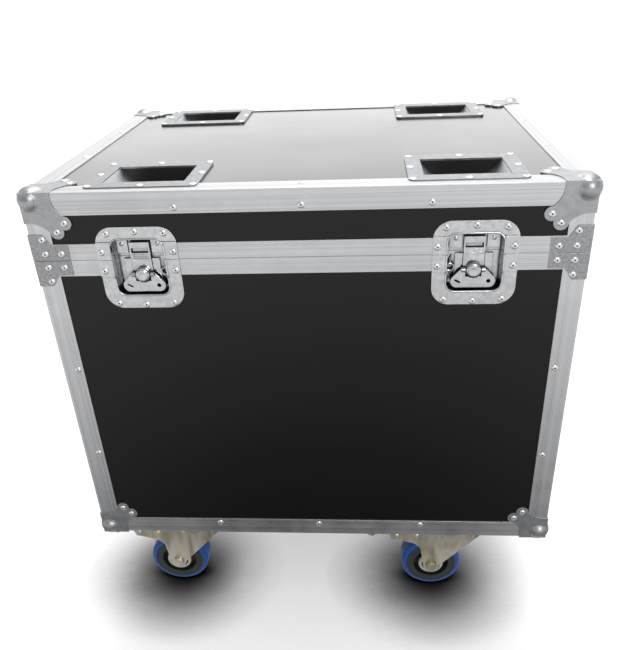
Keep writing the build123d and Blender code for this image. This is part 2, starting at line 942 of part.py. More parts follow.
def handle_dish():
    """Pressed dish of the right spring handle, with the two brackets of its bail."""
    outline = RectangleRounded(2 * handle_half_width, 2 * handle_half_height, handle_corner)
    opening = RectangleRounded(
        2 * handle_recess_half_width, 2 * handle_recess_half_height, handle_recess_corner
    )
    outer = RectangleRounded(
        2 * (handle_recess_half_width + handle_sheet),
        2 * (handle_recess_half_height + handle_sheet),
        handle_recess_corner + handle_sheet,
    )
    flange = side_prism(outline - opening, angle_wall - handle_sheet, angle_wall)
    pan = side_prism(outer, angle_wall, handle_recess_depth + handle_sheet)
    pan = pan - side_prism(opening, 0, handle_recess_depth)
    dish = flange + pan
    for side in (-1, 1):
        bracket = block(
            (
                half_width - bail_pivot_depth - bracket_half,
                half_width - bail_pivot_depth + bracket_half,
            ),
            (side * bracket_inner, side * (handle_recess_half_width + handle_sheet / 2)),
            (
                handle_height + bail_pivot_rise - bracket_half,
                handle_height + bail_pivot_rise + bracket_half,
            ),
        )
        bore = bail_bar(
            side * (bracket_inner - overrun),
            side * (bail_pivot_reach + cutout_clearance),
            bail_rod_radius + running_clearance,
        )
        dish = dish + bracket - bore
    return dish


def bail_bar(y_from, y_to, radius):
    """A round bar along the pivot line of the right bail."""
    spot = Pos(
        half_width - bail_pivot_depth, (y_from + y_to) / 2, handle_height + bail_pivot_rise
    )
    return spot * (Rot(90, 0, 0) * Cylinder(radius, abs(y_to - y_from)))


def handle_bail():
    """Bent rod of the right handle, hanging down: two pivot ends, two legs, a cross bar."""
    x = half_width - bail_pivot_depth
    top = handle_height + bail_pivot_rise
    low = top - bail_length
    corners = [
        (x, -bail_pivot_reach, top),
        (x, -bail_half_width, top),
        (x, -bail_half_width, low),
        (x, bail_half_width, low),
        (x, bail_half_width, top),
        (x, bail_pivot_reach, top),
    ]
    bends = [bail_bend_high, bail_bend_low, bail_bend_low, bail_bend_high]
    route = FilletPolyline(*corners, radius=bends)
    start = Plane(origin=corners[0], z_dir=(0, 1, 0))
    return sweep(start * Circle(bail_rod_radius), path=route)


def handle_grip():
    """Moulded sleeve on the cross bar of the right handle."""
    x = half_width - bail_pivot_depth
    low = handle_height + bail_pivot_rise - bail_length
    length = 2 * (bail_half_width - grip_end_gap)
    sleeve = Cylinder(grip_radius, length)
    sleeve = fillet(sleeve.edges().filter_by(GeomType.CIRCLE), grip_end_gap / 2)
    sleeve = sleeve - Cylinder(bail_rod_radius, length + overrun)
    return Pos(x, 0, low) * (Rot(90, 0, 0) * sleeve)


def handles():
    """A spring handle on each side."""
    pieces = {
        "handle_dish": handle_dish(),
        "handle_bail": handle_bail(),
        "handle_grip": handle_grip(),
    }
    for piece, shape in pieces.items():
        save(f"{piece}_right", shape)
        save(f"{piece}_left", mirror(shape, about=Plane.YZ))


def hinge_rod(radius, x_from, x_to):
    """A round bar along the hinge line."""
    spot = Pos((x_from + x_to) / 2, back + hinge_axis_offset, parting)
    return spot * (Rot(0, 90, 0) * Cylinder(radius, abs(x_to - x_from)))


def hinge_leaf(up, first):
    """One leaf with its share of the knuckles: above the parting for up 1, below for up -1."""
    half_leaf = hinge_leaf_width / 2
    step = closure_flange + cutout_clearance
    outer = (back, back + hinge_leaf_thickness)
    plate = block((-half_leaf, half_leaf), outer, (parting, parting + up * hinge_leaf_height))
    pad = block(
        (-half_leaf, half_leaf),
        (back - angle_wall, back),
        (parting + up * step, parting + up * hinge_leaf_height),
    )
    leaf = plate + pad
    pitch = hinge_leaf_width / hinge_knuckle_count
    for index in range(hinge_knuckle_count):
        x_from = -half_leaf + index * pitch
        x_to = x_from + pitch
        if index % 2 == first:
            barrel = hinge_rod(
                hinge_knuckle_radius,
                x_from + hinge_knuckle_gap / 2,
                x_to - hinge_knuckle_gap / 2,
            )
            root = block(
                (x_from + hinge_knuckle_gap / 2, x_to - hinge_knuckle_gap / 2),
                (back, back + hinge_axis_offset),
                (parting, parting + up * hinge_knuckle_radius),
            )
            leaf = leaf + barrel + root
        else:
            sweep = hinge_knuckle_radius + hinge_sweep_gap
            leaf = leaf - hinge_rod(
                sweep, x_from - hinge_knuckle_gap / 2, x_to + hinge_knuckle_gap / 2
            )
    bore = hinge_pin_radius + (running_clearance if up > 0 else 0)
    reach = half_leaf + overrun
    return leaf - hinge_rod(bore, -reach, reach)


def hinges():
    """Two hinges on the back of the case."""
    base_leaf = hinge_leaf(-1, 0)
    lid_leaf = hinge_leaf(1, 1)
    pin = hinge_rod(hinge_pin_radius, -hinge_leaf_width / 2, hinge_leaf_width / 2)
    for name, shape in (
        ("hinge_base_leaves", base_leaf),
        ("hinge_lid_leaves", lid_leaf),
        ("hinge_pins", pin),
    ):
        save(name, *[Pos(side * hinge_place, 0, 0) * shape for side in (-1, 1)])


def dish_places():
    """Middles of the four wheel dishes on the lid."""
    return [(sx * dish_place_x, sy * dish_place_y) for sx in (-1, 1) for sy in (-1, 1)]


def dish_trough(grow):
    """The hollow of a wheel dish, grown by a wall: part of a round bar that lies along Y."""
    bow = (dish_half_opening_x**2 + dish_depth**2) / (2 * dish_depth)
    bar = Pos(0, 0, case_top + bow - dish_depth) * (
        Rot(90, 0, 0) * Cylinder(bow + grow, 2 * (dish_half_opening_y + grow))
    )
    lid = block(
        (-dish_half_opening_x - grow, dish_half_opening_x + grow),
        (-dish_half_opening_y - grow, dish_half_opening_y + grow),
        (case_top - dish_depth - grow, case_top + dish_sheet + overrun),
    )
    return bar & lid


def castor_dish():
    """Pressed dish for the wheel of a case on top: a flat plate round a curved trough."""
    outline = RectangleRounded(2 * dish_half_width, 2 * dish_half_depth, dish_corner)
    plate = extrude(Pos(0, 0, case_top) * outline, amount=dish_sheet)
    inner_edge = -half_depth + angle_flange + cutout_clearance
    middle_y = -dish_place_y
    over_panel = extrude(Pos(0, 0, case_top - angle_wall) * outline, amount=angle_wall)
    over_panel = over_panel & block(
        (-dish_half_width - overrun, dish_half_width + overrun),
        (inner_edge - middle_y, dish_half_depth + overrun),
        (case_top - angle_wall, case_top),
    )
    shell = dish_trough(dish_sheet) & block(
        (-dish_half_width, dish_half_width),
        (-dish_half_depth, dish_half_depth),
        (case_top - dish_depth - 2 * dish_sheet, case_top + dish_sheet),
    )
    return plate + over_panel + shell - dish_trough(0)


def castor_dishes():
    """Four wheel dishes let into the lid."""
    dish = Pos(-dish_place_x, -dish_place_y, 0) * castor_dish()
    save("castor_dishes", *in_four_corners(dish))


def at_castor_bolts(shape):
    """A shape at each of the four bolts of a castor, about the swivel line."""
    spots = [(sx * castor_bolt_x, sy * castor_bolt_y) for sx in (-1, 1) for sy in (-1, 1)]
    return [Pos(x, y, 0) * shape for x, y in spots]


def castor_bolt_holes(low, high):
    """The four bolt holes of a castor between two heights, about the swivel line."""
    hole = Pos(0, 0, (low + high) / 2) * Cylinder(
        castor_bolt_radius + castor_bolt_gap, high - low + overrun
    )
    return at_castor_bolts(hole)


def castor_bolt_heads(grow):
    """The countersunk heads of a castor's bolts, level with the case floor, grown by a gap."""
    head = Pos(0, 0, base_floor - castor_bolt_head_height / 2) * Cone(
        castor_bolt_radius + grow, castor_bolt_head_radius + grow, castor_bolt_head_height
    )
    return at_castor_bolts(head)


def castor_places():
    """Row, side and swivel line of each castor."""
    places = []
    for row, row_side in (("front", -1), ("rear", 1)):
        for name, side in (("left", -1), ("right", 1)):
            spot = Pos(side * castor_place_x, row_side * castor_place_y, 0)
            places.append((row, name, spot))
    return places


def castor_plate():
    """Fixed top of a castor about the swivel line: bolt plate, upper race and kingpin."""
    plate = extrude(
        Pos(0, 0, castor_plate_bottom)
        * RectangleRounded(castor_plate_length, castor_plate_depth, castor_plate_corner),
        amount=castor_plate_thickness,
    )
    race = Pos(0, 0, race_bottom + race_height / 2) * Cylinder(race_radius, race_height)
    pin_low = fork_top_bottom - swivel_gap - kingpin_head_height
    pin_length = race_bottom - pin_low
    pin = Pos(0, 0, pin_low + pin_length / 2) * Cylinder(kingpin_radius, pin_length)
    head = Pos(0, 0, pin_low + kingpin_head_height / 2) * Cylinder(
        kingpin_head_radius, kingpin_head_height
    )
    whole = plate + race + pin + head
    for hole in castor_bolt_holes(castor_plate_bottom, castor_plate_top):
        whole = whole - hole
    return whole


def castor_bolts():
    """Socket bolts let into the case floor, each with its nut under the castor plate."""
    length = base_floor - castor_plate_bottom + castor_nut_height
    shank = Pos(0, 0, base_floor - length / 2) * Cylinder(castor_bolt_radius, length)
    nut = extrude(
        Pos(0, 0, castor_plate_bottom) * RegularPolygon(castor_nut_radius, 6),
        amount=-castor_nut_height,
    )
    socket = extrude(
        Pos(0, 0, base_floor) * RegularPolygon(castor_bolt_socket_radius, 6),
        amount=-castor_bolt_socket_depth,
    )
    stems = at_castor_bolts(shank + nut)
    sockets = at_castor_bolts(socket)
    heads = castor_bolt_heads(0)
    return [stem + head - hole for stem, head, hole in zip(stems, heads, sockets)]


def trailing(points):
    """Points given behind the axle and above its centre, as points in X and Z."""
    return [(-trail - behind, wheel_radius + above) for behind, above in points]


def side_view(points):
    """A face in the XZ plane through points."""
    outline = Polyline(*points, close=True)
    return Plane.XZ * make_face(Plane.XY * outline)


def cheek_pair(points, inner, sheet_thickness):
    """The same side view cut twice, one each side of the wheel."""
    one = extrude(side_view(points), amount=sheet_thickness)
    near = Pos(0, -inner, 0) * one
    return near + mirror(near, about=Plane.XZ)


def castor_fork(braked):
    """Swivelling fork about the swivel line, its axle behind it towards -X."""
    back_edge = [(fork_hip, fork_hip_height)]
    if braked:
        back_edge += [
            (fork_elbow, fork_elbow_height),
            (fork_arm_low, fork_arm_low_height),
            (fork_arm_end, fork_arm_end_height),
            (fork_arm_end, fork_arm_top_height),
        ]
    top = cup_bottom - wheel_radius
    nose = -trail - fork_nose
    outline = trailing(
        [
            (nose, top),
            (nose, top - fork_nose_height),
            (-fork_end_radius, 0),
            (fork_end_radius, 0),
            *back_edge,
            (fork_bridge, top),
        ]
    )
    legs = cheek_pair(outline, fork_inner, fork_sheet)
    for side in (-1, 1):
        y_middle = side * (fork_inner + fork_sheet / 2)
        legs = legs + Pos(-trail, y_middle, wheel_radius) * (
            Rot(90, 0, 0) * Cylinder(fork_end_radius, fork_sheet)
        )
    half = fork_inner + fork_sheet
    bridge = block(
        (fork_nose, -trail - fork_bridge), (-half, half), (fork_top_bottom, cup_bottom)
    )
    skirt = block(
        (fork_nose - fork_sheet, fork_nose), (-half, half), (cup_bottom - fork_nose_height, cup_bottom)
    )
    cup = Pos(0, 0, cup_bottom + cup_height / 2) * Cylinder(cup_radius, cup_height)
    cup = fillet(cup.edges().filter_by(GeomType.CIRCLE).sort_by(Axis.Z)[-1], cup_round)
    seat = Pos(0, 0, fork_top_bottom + fork_top_sheet / 2) * Cylinder(cup_radius, fork_top_sheet)
    fork = legs + bridge + skirt + cup + seat
    bore_height = cup_top - fork_top_bottom + 2 * overrun
    fork = fork - Pos(0, 0, fork_top_bottom + bore_height / 2 - overrun) * Cylinder(
        kingpin_radius + running_clearance, bore_height
    )
    fork = fork - Pos(-trail, 0, wheel_radius) * (
        Rot(90, 0, 0) * Cylinder(axle_radius, 2 * half + overrun)
    )
    if braked:
        pivot = Pos(-trail - pedal_pivot, 0, wheel_radius + pedal_pivot_height)
        fork = fork - pivot * (
            Rot(90, 0, 0) * Cylinder(pedal_pin_radius + running_clearance, 2 * half + overrun)
        )
    return fork


def castor_axle():
    """Axle bolt with a round cap each side of the fork."""
    half = fork_inner + fork_sheet
    shaft = Cylinder(axle_radius, 2 * half)
    cap = Cylinder(axle_cap_radius, axle_cap_height)
    cap = fillet(cap.edges().filter_by(GeomType.CIRCLE).sort_by(Axis.Z)[-1], axle_cap_height / 3)
    upper = Pos(0, 0, half + axle_cap_height / 2) * cap
    axle = shaft + upper + mirror(upper, about=Plane.XY)
    return Pos(-trail, 0, wheel_radius) * (Rot(90, 0, 0) * axle)


def wheel_ring(points):
    """A ring turned about the axle from a profile in (radius, across)."""
    outline = Polyline(*points, close=True)
    ring = revolve(Plane.XZ * make_face(outline), axis=Axis.Z)
    return ring


def castor_tyre():
    """Elastic tyre with rounded shoulders."""
    inner = wheel_radius - tyre_thickness
    tyre = Cylinder(wheel_radius, 2 * tyre_half_width) - Cylinder(
        inner, 2 * tyre_half_width + overrun
    )
    rims = [
        edge
        for edge in tyre.edges().filter_by(GeomType.CIRCLE)
        if edge.radius > inner + tyre_thickness / 2
    ]
    tyre = fillet(rims, tyre_shoulder)
    return Pos(-trail, 0, wheel_radius) * (Rot(90, 0, 0) * tyre)


def castor_hub():
    """Moulded hub: rim under the tyre, a thin web, and the boss that turns on the axle."""
    rim_out = wheel_radius - tyre_thickness
    rim_in = rim_out - hub_rim
    bore = axle_radius + running_clearance
    hub = wheel_ring(
        [
            (bore, -hub_half_width),
            (hub_boss_radius, -hub_half_width),
            (hub_boss_radius + hub_rim, -hub_web_half_width),
            (rim_in, -hub_web_half_width),
            (rim_in, -tyre_half_width),
            (rim_out, -tyre_half_width),
            (rim_out, tyre_half_width),
            (rim_in, tyre_half_width),
            (rim_in, hub_web_half_width),
            (hub_boss_radius + hub_rim, hub_web_half_width),
            (hub_boss_radius, hub_half_width),
            (bore, hub_half_width),
        ]
    )
    return Pos(-trail, 0, wheel_radius) * (Rot(90, 0, 0) * hub)


def castor_pedal():
    """Brake pedal between the fork's arms: curled tread, two cheeks, pivot pins and shoe."""
    upper = [
        (pedal_start, pedal_start_height),
        (pedal_bend, pedal_bend_height),
        (pedal_dip, pedal_dip_height),
        (pedal_tip, pedal_tip_height),
    ]
    lower = [(behind, above - pedal_sheet) for behind, above in upper]
    tread = extrude(
        Pos(0, pedal_half_width, 0) * side_view(trailing(upper + lower[::-1])),
        amount=2 * pedal_half_width,
    )
    cheeks = cheek_pair(
        trailing(
            [
                (pedal_start, pedal_start_height - pedal_sheet / 2),
                (pedal_bend, pedal_bend_height - pedal_sheet / 2),
                (cheek_back, cheek_back_height),
                (cheek_heel, cheek_heel_height),
                (cheek_low_end, cheek_low_end_height),
                (cheek_low_start, cheek_low_start_height),
            ]
        ),
        pedal_half_width - pedal_cheek,
        pedal_cheek,
    )
    shoe_side = side_view(
        trailing(
            [
                (shoe_root, pedal_start_height - pedal_sheet / 2),
                (shoe_root + shoe_sheet, pedal_start_height - pedal_sheet / 2),
                (shoe_knee + shoe_sheet, shoe_knee_height),
                (shoe_end + shoe_sheet, shoe_end_height),
                (shoe_end, shoe_end_height),
                (shoe_knee, shoe_knee_height),
            ]
        )
    )
    shoe = extrude(Pos(0, shoe_half_width, 0) * shoe_side, amount=2 * shoe_half_width)
    half = fork_inner + fork_sheet
    pin = Pos(-trail - pedal_pivot, 0, wheel_radius + pedal_pivot_height) * (
        Rot(90, 0, 0) * Cylinder(pedal_pin_radius, 2 * half)
    )
    return tread + cheeks + shoe + pin


def castors():
    """Four swivel castors, the two at the front with brake pedals."""
    forks = {True: castor_fork(True), False: castor_fork(False)}
    axle = castor_axle()
    tyre = castor_tyre()
    hub = castor_hub()
    pedal = castor_pedal()
    plate = castor_plate()
    plates = []
    bolts = []
    own_bolts = castor_bolts()
    for row, name, spot in castor_places():
        braked = row == "front"
        plates.append(spot * plate)
        bolts.extend([spot * bolt for bolt in own_bolts])
        save(f"castor_fork_{row}_{name}", spot * forks[braked])
        save(f"castor_axle_{row}_{name}", spot * axle)
        save(f"castor_tyre_{row}_{name}", spot * tyre)
        save(f"castor_hub_{row}_{name}", spot * hub)
        if braked:
            save(f"brake_pedal_{row}_{name}", spot * pedal)
    save("castor_plates", *plates)
    save("castor_bolts", *bolts)


def mirrored_points(points):
    """The points and their images left to right and front to back, each once."""
    seen = []
    for x, y, z in points:
        for sx in (-1, 1):
            for sy in (-1, 1):
                spot = (sx * x, sy * y, z)
                if spot not in seen:
                    seen.append(spot)
    return seen


def outward_rivets(points, direction):
    """Rivets on one pair of opposite faces: each heads away from the middle of the case."""
    made = []
    for x, y, z in points:
        if direction == "x":
            normal = (math.copysign(1, x), 0, 0)
        else:
            normal = (0, math.copysign(1, y), 0)
        made.extend(rivets_on([(x, y, z)], normal))
    return made


def corner_rivets(level, up):
    """The six rivets of each ball corner at one level of the case."""
    made = []
    for near, far in ((lobe_near, lobe_far), (lobe_far, lobe_near)):
        z = level - up * far
        face = mirrored_points([(half_width - near, half_depth + sheet, z)])
        made.extend(outward_rivets(face, "y"))
        cheek = mirrored_points([(half_width + sheet, half_depth - near, z)])
        made.extend(outward_rivets(cheek, "x"))
        flat = mirrored_points([(half_width - near, half_depth - far, level + up * sheet)])
        made.extend(rivets_on(flat, (0, 0, up)))
    return made


def brace_rivets(up):
    """The rivets of the braces above (up 1) or below (up -1) the parting line."""
    made = []
    spots = (
        (brace_rivet_inset, brace_rivet_high),
        (brace_rivet_inset, brace_rivet_low),
        (brace_rivet_far, brace_rivet_low),
    )
    for along, rise in spots:
        z = parting + up * rise
        face = mirrored_points([(half_width - along, half_depth + sheet, z)])
        made.extend(outward_rivets(face, "y"))
        cheek = mirrored_points([(half_width + sheet, half_depth - along, z)])
        made.extend(outward_rivets(cheek, "x"))
    return made


def level_edge_rivets(level, up):
    """Rivets along the flanges of the horizontal angles at one level of the case."""
    z = level - up * edge_rivet_inset
    face = [(share * case_width, half_depth, z) for share in edge_rivet_front_shares]
    cheek = [(half_width, share * case_depth, z) for share in edge_rivet_side_shares]
    flat = [(half_width - edge_rivet_inset, y, level) for _, y, _ in cheek]
    flat.append((0, half_depth - edge_rivet_inset, level))
    made = outward_rivets(mirrored_points(face), "y")
    made.extend(outward_rivets(mirrored_points(cheek), "x"))
    made.extend(rivets_on(mirrored_points(flat), (0, 0, up)))
    return made


def upright_rivets():
    """Rivets down the flanges of the upright angles of the base."""
    low = case_bottom + angle_flange
    high = parting - closure_flange
    made = []
    for share in upright_rivet_shares:
        z = high - share * (high - low)
        face = [(half_width - edge_rivet_inset, half_depth, z)]
        cheek = [(half_width, half_depth - edge_rivet_inset, z)]
        made.extend(outward_rivets(mirrored_points(face), "y"))
        made.extend(outward_rivets(mirrored_points(cheek), "x"))
    return made


def latch_rivets(up):
    """Rivets of the latch flanges above (up 1) or below (up -1) the parting line."""
    if up > 0:
        near = [(latch_rivet_wide, latch_rivet_row_high)]
        far = [(latch_rivet_corner, latch_rivet_top)]
        middle = latch_rivet_top_middle
    else:
        near = [(latch_rivet_wide, -latch_rivet_row_low)]
        far = [(latch_rivet_corner, -latch_rivet_bottom)]
        middle = -latch_rivet_bottom_middle
    made = []
    for place in (-latch_place, latch_place):
        for across, rise in near:
            points = [(place + side * across, front - latch_sheet, parting + rise) for side in (-1, 1)]
            made.extend(rivets_on(points, (0, -1, 0)))
        for across, rise in far:
            points = [(place + side * across, front, parting + rise) for side in (-1, 1)]
            made.extend(rivets_on(points, (0, -1, 0)))
        made.extend(rivets_on([(place, front, parting + middle)], (0, -1, 0)))
    return made


def hinge_rivets(up):
    """Rivets of the hinge leaves above (up 1) or below (up -1) the parting line."""
    face = back + hinge_leaf_thickness
    made = []
    for place in (-hinge_place, hinge_place):
        spots = [
            (place - hinge_rivet_side, face, parting + up * hinge_rivet_height),
            (place + hinge_rivet_side, face, parting + up * hinge_rivet_height),
            (place, face, parting + up * hinge_rivet_near),
        ]
        made.extend(rivets_on(spots, (0, 1, 0)))
    return made


def handle_rivets():
    """Eight rivets round each handle dish."""
    face = half_width - angle_wall + handle_sheet
    made = []
    for along, rise in (
        (handle_rivet_wide, handle_rivet_tall),
        (0, handle_rivet_tall),
        (handle_rivet_wide, 0),
    ):
        for up in (-1, 1):
            points = mirrored_points([(face, along, handle_height + up * rise)])
            if rise == 0 and up > 0:
                points = []
            made.extend(outward_rivets(points, "x"))
    return made


def dish_rivets():
    """Eight rivets round each wheel dish."""
    made = []
    for dish_x, dish_y in dish_places():
        for along in (-dish_rivet_x, 0, dish_rivet_x):
            for across in (-dish_rivet_y, 0, dish_rivet_y):
                if along == 0 and across == 0:
                    continue
                spot = (dish_x + along, dish_y + across, case_top + dish_sheet)
                made.extend(rivets_on([spot], (0, 0, 1)))
    return made


def all_rivets():
    """Every blind rivet of the base and of the lid."""
    base = (
        corner_rivets(case_bottom, -1)
        + brace_rivets(-1)
        + level_edge_rivets(case_bottom, -1)
        + upright_rivets()
        + latch_rivets(-1)
        + hinge_rivets(-1)
        + handle_rivets()
    )
    save("base_rivets", *base)
    lid = (
        corner_rivets(case_top, 1)
        + brace_rivets(1)
        + level_edge_rivets(case_top, 1)
        + latch_rivets(1)
        + hinge_rivets(1)
        + dish_rivets()
    )
    save("lid_rivets", *lid)


os.makedirs("parts", exist_ok=True)
base_panels()
lid_panels()
edge_angles()
closure_rails()
ball_corners()
corner_braces()
latches()
handles()
hinges()
castor_dishes()
castors()
all_rivets()
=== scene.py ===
import json
import math

import bpy
import numpy as np
from mathutils import Matrix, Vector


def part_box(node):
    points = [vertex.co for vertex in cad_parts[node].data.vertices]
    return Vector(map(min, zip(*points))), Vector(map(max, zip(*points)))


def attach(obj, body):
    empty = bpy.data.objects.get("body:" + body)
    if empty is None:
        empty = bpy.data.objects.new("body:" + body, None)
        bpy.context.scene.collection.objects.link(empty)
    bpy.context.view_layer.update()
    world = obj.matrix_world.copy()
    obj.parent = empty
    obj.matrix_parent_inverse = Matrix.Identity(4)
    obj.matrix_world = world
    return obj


# Finishes, small fittings, light and camera for a flight case of film-faced plywood.
# Fittings are worked out in millimetres and turned to metres where their mesh is made.

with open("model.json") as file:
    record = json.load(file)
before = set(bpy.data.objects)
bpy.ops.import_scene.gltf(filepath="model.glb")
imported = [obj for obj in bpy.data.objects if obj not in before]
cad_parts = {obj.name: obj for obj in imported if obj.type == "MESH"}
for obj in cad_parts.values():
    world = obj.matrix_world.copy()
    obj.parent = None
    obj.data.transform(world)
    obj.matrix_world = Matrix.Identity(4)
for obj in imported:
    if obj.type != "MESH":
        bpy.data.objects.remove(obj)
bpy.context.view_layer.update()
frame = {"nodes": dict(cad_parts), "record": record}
nodes = frame["nodes"]

MM = 0.001
TURN = 2 * math.pi
SHARP_EDGE = math.radians(40)
SIDES = (("left", -1), ("right", 1))
CASTORS = ("front_left", "front_right", "rear_left", "rear_right")


def box(node):
    """Lowest and highest corner of a CAD node, in millimetres."""
    low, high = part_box(node)
    return np.array(low) / MM, np.array(high) / MM


def middle(node):
    """Centre of a CAD node's box, in millimetres."""
    low, high = box(node)
    return (low + high) / 2


# Sizes read from the frame, and the widths and sheets that the fittings meet
case_low = box("base_angles")[0]
case_high = box("lid_angles")[1]
HALF_WIDTH = case_high[0]
HALF_DEPTH = case_high[1]
FRONT = -HALF_DEPTH
CASE_BOTTOM = case_low[2]
CASE_TOP = case_high[2]
SEAM = 0.4
PARTING = box("lid_closure_rails")[0][2] - SEAM / 2
FLANGE = 30.0
CLOSURE_FLANGE = 22.7
DISH_SHEET = 1.5


# Shapes as whole arrays of points


def skin(points, loop_rows=False):
    """Points on a grid as a closed mesh of quads. Each row is a ring.

    The last row is joined to the first, or else both get a flat cap. The faces are turned over if
    the enclosed volume comes out negative, so that they point outwards.
    """
    rows, columns = points.shape[:2]
    row = np.arange(rows if loop_rows else rows - 1)[:, None]
    column = np.arange(columns)[None, :]
    next_row = (row + 1) % rows
    next_column = (column + 1) % columns
    quads = np.stack(
        [
            row * columns + column,
            row * columns + next_column,
            next_row * columns + next_column,
            next_row * columns + column,
        ],
        -1,
    ).reshape(-1, 4)
    faces = quads.tolist()
    if not loop_rows:
        last = (rows - 1) * columns
        faces.append(list(range(columns))[::-1])
        faces.append([last + index for index in range(columns)])
    flat = points.reshape(-1, 3)
    centre = flat.mean(0)
    a, b, c, d = (flat[quads[:, k]] - centre for k in range(4))
    volume = np.sum(a * (np.cross(b, c) + np.cross(c, d)))
    if volume < 0:
        faces = [face[::-1] for face in faces]
    return flat, faces


def together(shapes):
    """Several meshes as one."""
    points = []
    faces = []
    start = 0
    for flat, own_faces in shapes:
        points.append(flat)
        faces.extend([[start + index for index in face] for face in own_faces])
        start += len(flat)
    return np.concatenate(points), faces


def tube(path, radius, hint, sides=10):
    """A circle carried along a path, square to it. The hint sets how the circle is turned."""
    ahead = np.gradient(path, axis=0)
    ahead /= np.linalg.norm(ahead, axis=1, keepdims=True)
    across = np.cross(ahead, hint)
    across /= np.linalg.norm(across, axis=1, keepdims=True)
    up = np.cross(across, ahead)
    angle = np.arange(sides)[:, None] * TURN / sides
    ring = across[:, None] * np.cos(angle) + up[:, None] * np.sin(angle)
    return skin(path[:, None] + radius * ring)


def across_axis(axis):
    """Two unit vectors square to an axis and to each other."""
    nearly_upright = 0.9
    helper = (0.0, 0.0, 1.0) if abs(axis[2]) < nearly_upright else (1.0, 0.0, 0.0)
    first = np.cross(axis, helper)
    first /= np.linalg.norm(first)
    return first, np.cross(axis, first)


def turned_part(profile, centre, axis, sides=48, closed=False):
    """A profile of (radius, height) turned about an axis through a centre."""
    radius, height = np.array(profile).T[:, :, None, None]
    first, second = across_axis(axis)
    angle = np.arange(sides)[:, None] * TURN / sides
    spokes = first * np.cos(angle) + second * np.sin(angle)
    return skin(np.array(centre) + radius * spokes + height * np.array(axis), loop_rows=closed)


def dome(centre, axis, radius, height):
    """A low button head: height falls with the square of the distance from its middle."""
    tip = 0.06
    shares = np.linspace(1, tip, 5)
    profile = [(radius, -height / 2)] + [(radius * s, height * (1 - s**2)) for s in shares]
    return turned_part(profile, centre, axis, sides=16)


def piece(name, shape, finish, body):
    """A mesh object from a shape in millimetres. It rides on a body."""
    points, faces = shape
    mesh = bpy.data.meshes.new(name)
    mesh.from_pydata((points * MM).tolist(), [], faces)
    mesh.shade_smooth()
    mesh.set_sharp_from_angle(angle=SHARP_EDGE)
    mesh.materials.append(finish)
    made = bpy.data.objects.new(name, mesh)
    bpy.context.scene.collection.objects.link(made)
    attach(made, body)
    return made


# Materials


def linear(hex_colour):
    """An sRGB hex colour as linear red, green, blue and alpha."""
    values = [int(hex_colour[k : k + 2], 16) / 255 for k in (1, 3, 5)]
    return tuple(v / 12.92 if v <= 0.04045 else ((v + 0.055) / 1.055) ** 2.4 for v in values) + (1,)


def per_mm(size):
    """Noise scale for a pattern of a real size in millimetres."""
    return 1 / (size * MM)


def add(tree, kind, inputs=None, stops=(), **settings):
    """Adds a node with its settings. Inputs are values, sockets, or nodes for their first output.

    Stops are the positions and hex colours of a colour ramp, from low to high.
    """
    node = tree.nodes.new(kind)
    for name, value in settings.items():
        setattr(node, name, value)
    for name, value in (inputs or {}).items():
        if isinstance(value, bpy.types.Node):
            value = value.outputs[0]
        if isinstance(value, bpy.types.NodeSocket):
            tree.links.new(value, node.inputs[name])
        else:
            node.inputs[name].default_value = value
    for _ in stops[2:]:
        node.color_ramp.elements.new(1.0)
    for index, (position, colour) in enumerate(stops):
        node.color_ramp.elements[index].position = position
        node.color_ramp.elements[index].color = linear(colour)
    return node


def new_material(name):
    """An empty node material, its tree and the object coordinates that patterns read."""
    material = bpy.data.materials.new(name)
    material.use_nodes = True
    tree = material.node_tree
    tree.nodes.clear()
    place = add(tree, "ShaderNodeTexCoord").outputs["Object"]
    return material, tree, place


def finish_off(tree, surface):
    """Sends a shader to the material's output."""
    add(tree, "ShaderNodeOutputMaterial", {"Surface": surface})


def rounded_edges(tree, radius):
    """A normal rounded at the edges, and the share of edge: how far it leaves the true normal."""
    rounded = add(tree, "ShaderNodeBevel", {"Radius": radius * MM}, samples=4)
    true = add(tree, "ShaderNodeNewGeometry").outputs["True Normal"]
    agreement = add(
        tree, "ShaderNodeVectorMath", {0: rounded, 1: true}, operation="DOT_PRODUCT"
    ).outputs["Value"]
    edge = add(
        tree,
        "ShaderNodeMapRange",
        {"Value": agreement, "From Min": 0.995, "From Max": 0.8, "To Min": 0.0, "To Max": 1.0},
    )
    return rounded, edge


def scuffed_on_top(tree, roughness, colour, dulling=0.85):
    """Roughness and colour of a metal whose upward faces are scuffed by the cases stacked on it."""
    scuffed_roughness = 0.6
    normal = add(tree, "ShaderNodeTexCoord").outputs["Normal"]
    up = add(tree, "ShaderNodeSeparateXYZ", {0: normal}).outputs[2]
    share = add(tree, "ShaderNodeMapRange", {"Value": up, "From Min": 0.8, "From Max": 0.97})
    rough = add(tree, "ShaderNodeMix", {0: share, "A": roughness, "B": scuffed_roughness})
    left = add(tree, "ShaderNodeMapRange", {"Value": share, "To Min": 1.0, "To Max": dulling})
    darkened = add(
        tree,
        "ShaderNodeMix",
        {0: 1.0, "A": colour, "B": left},
        data_type="RGBA",
        blend_type="MULTIPLY",
    )
    return rough, darkened.outputs["Result"]


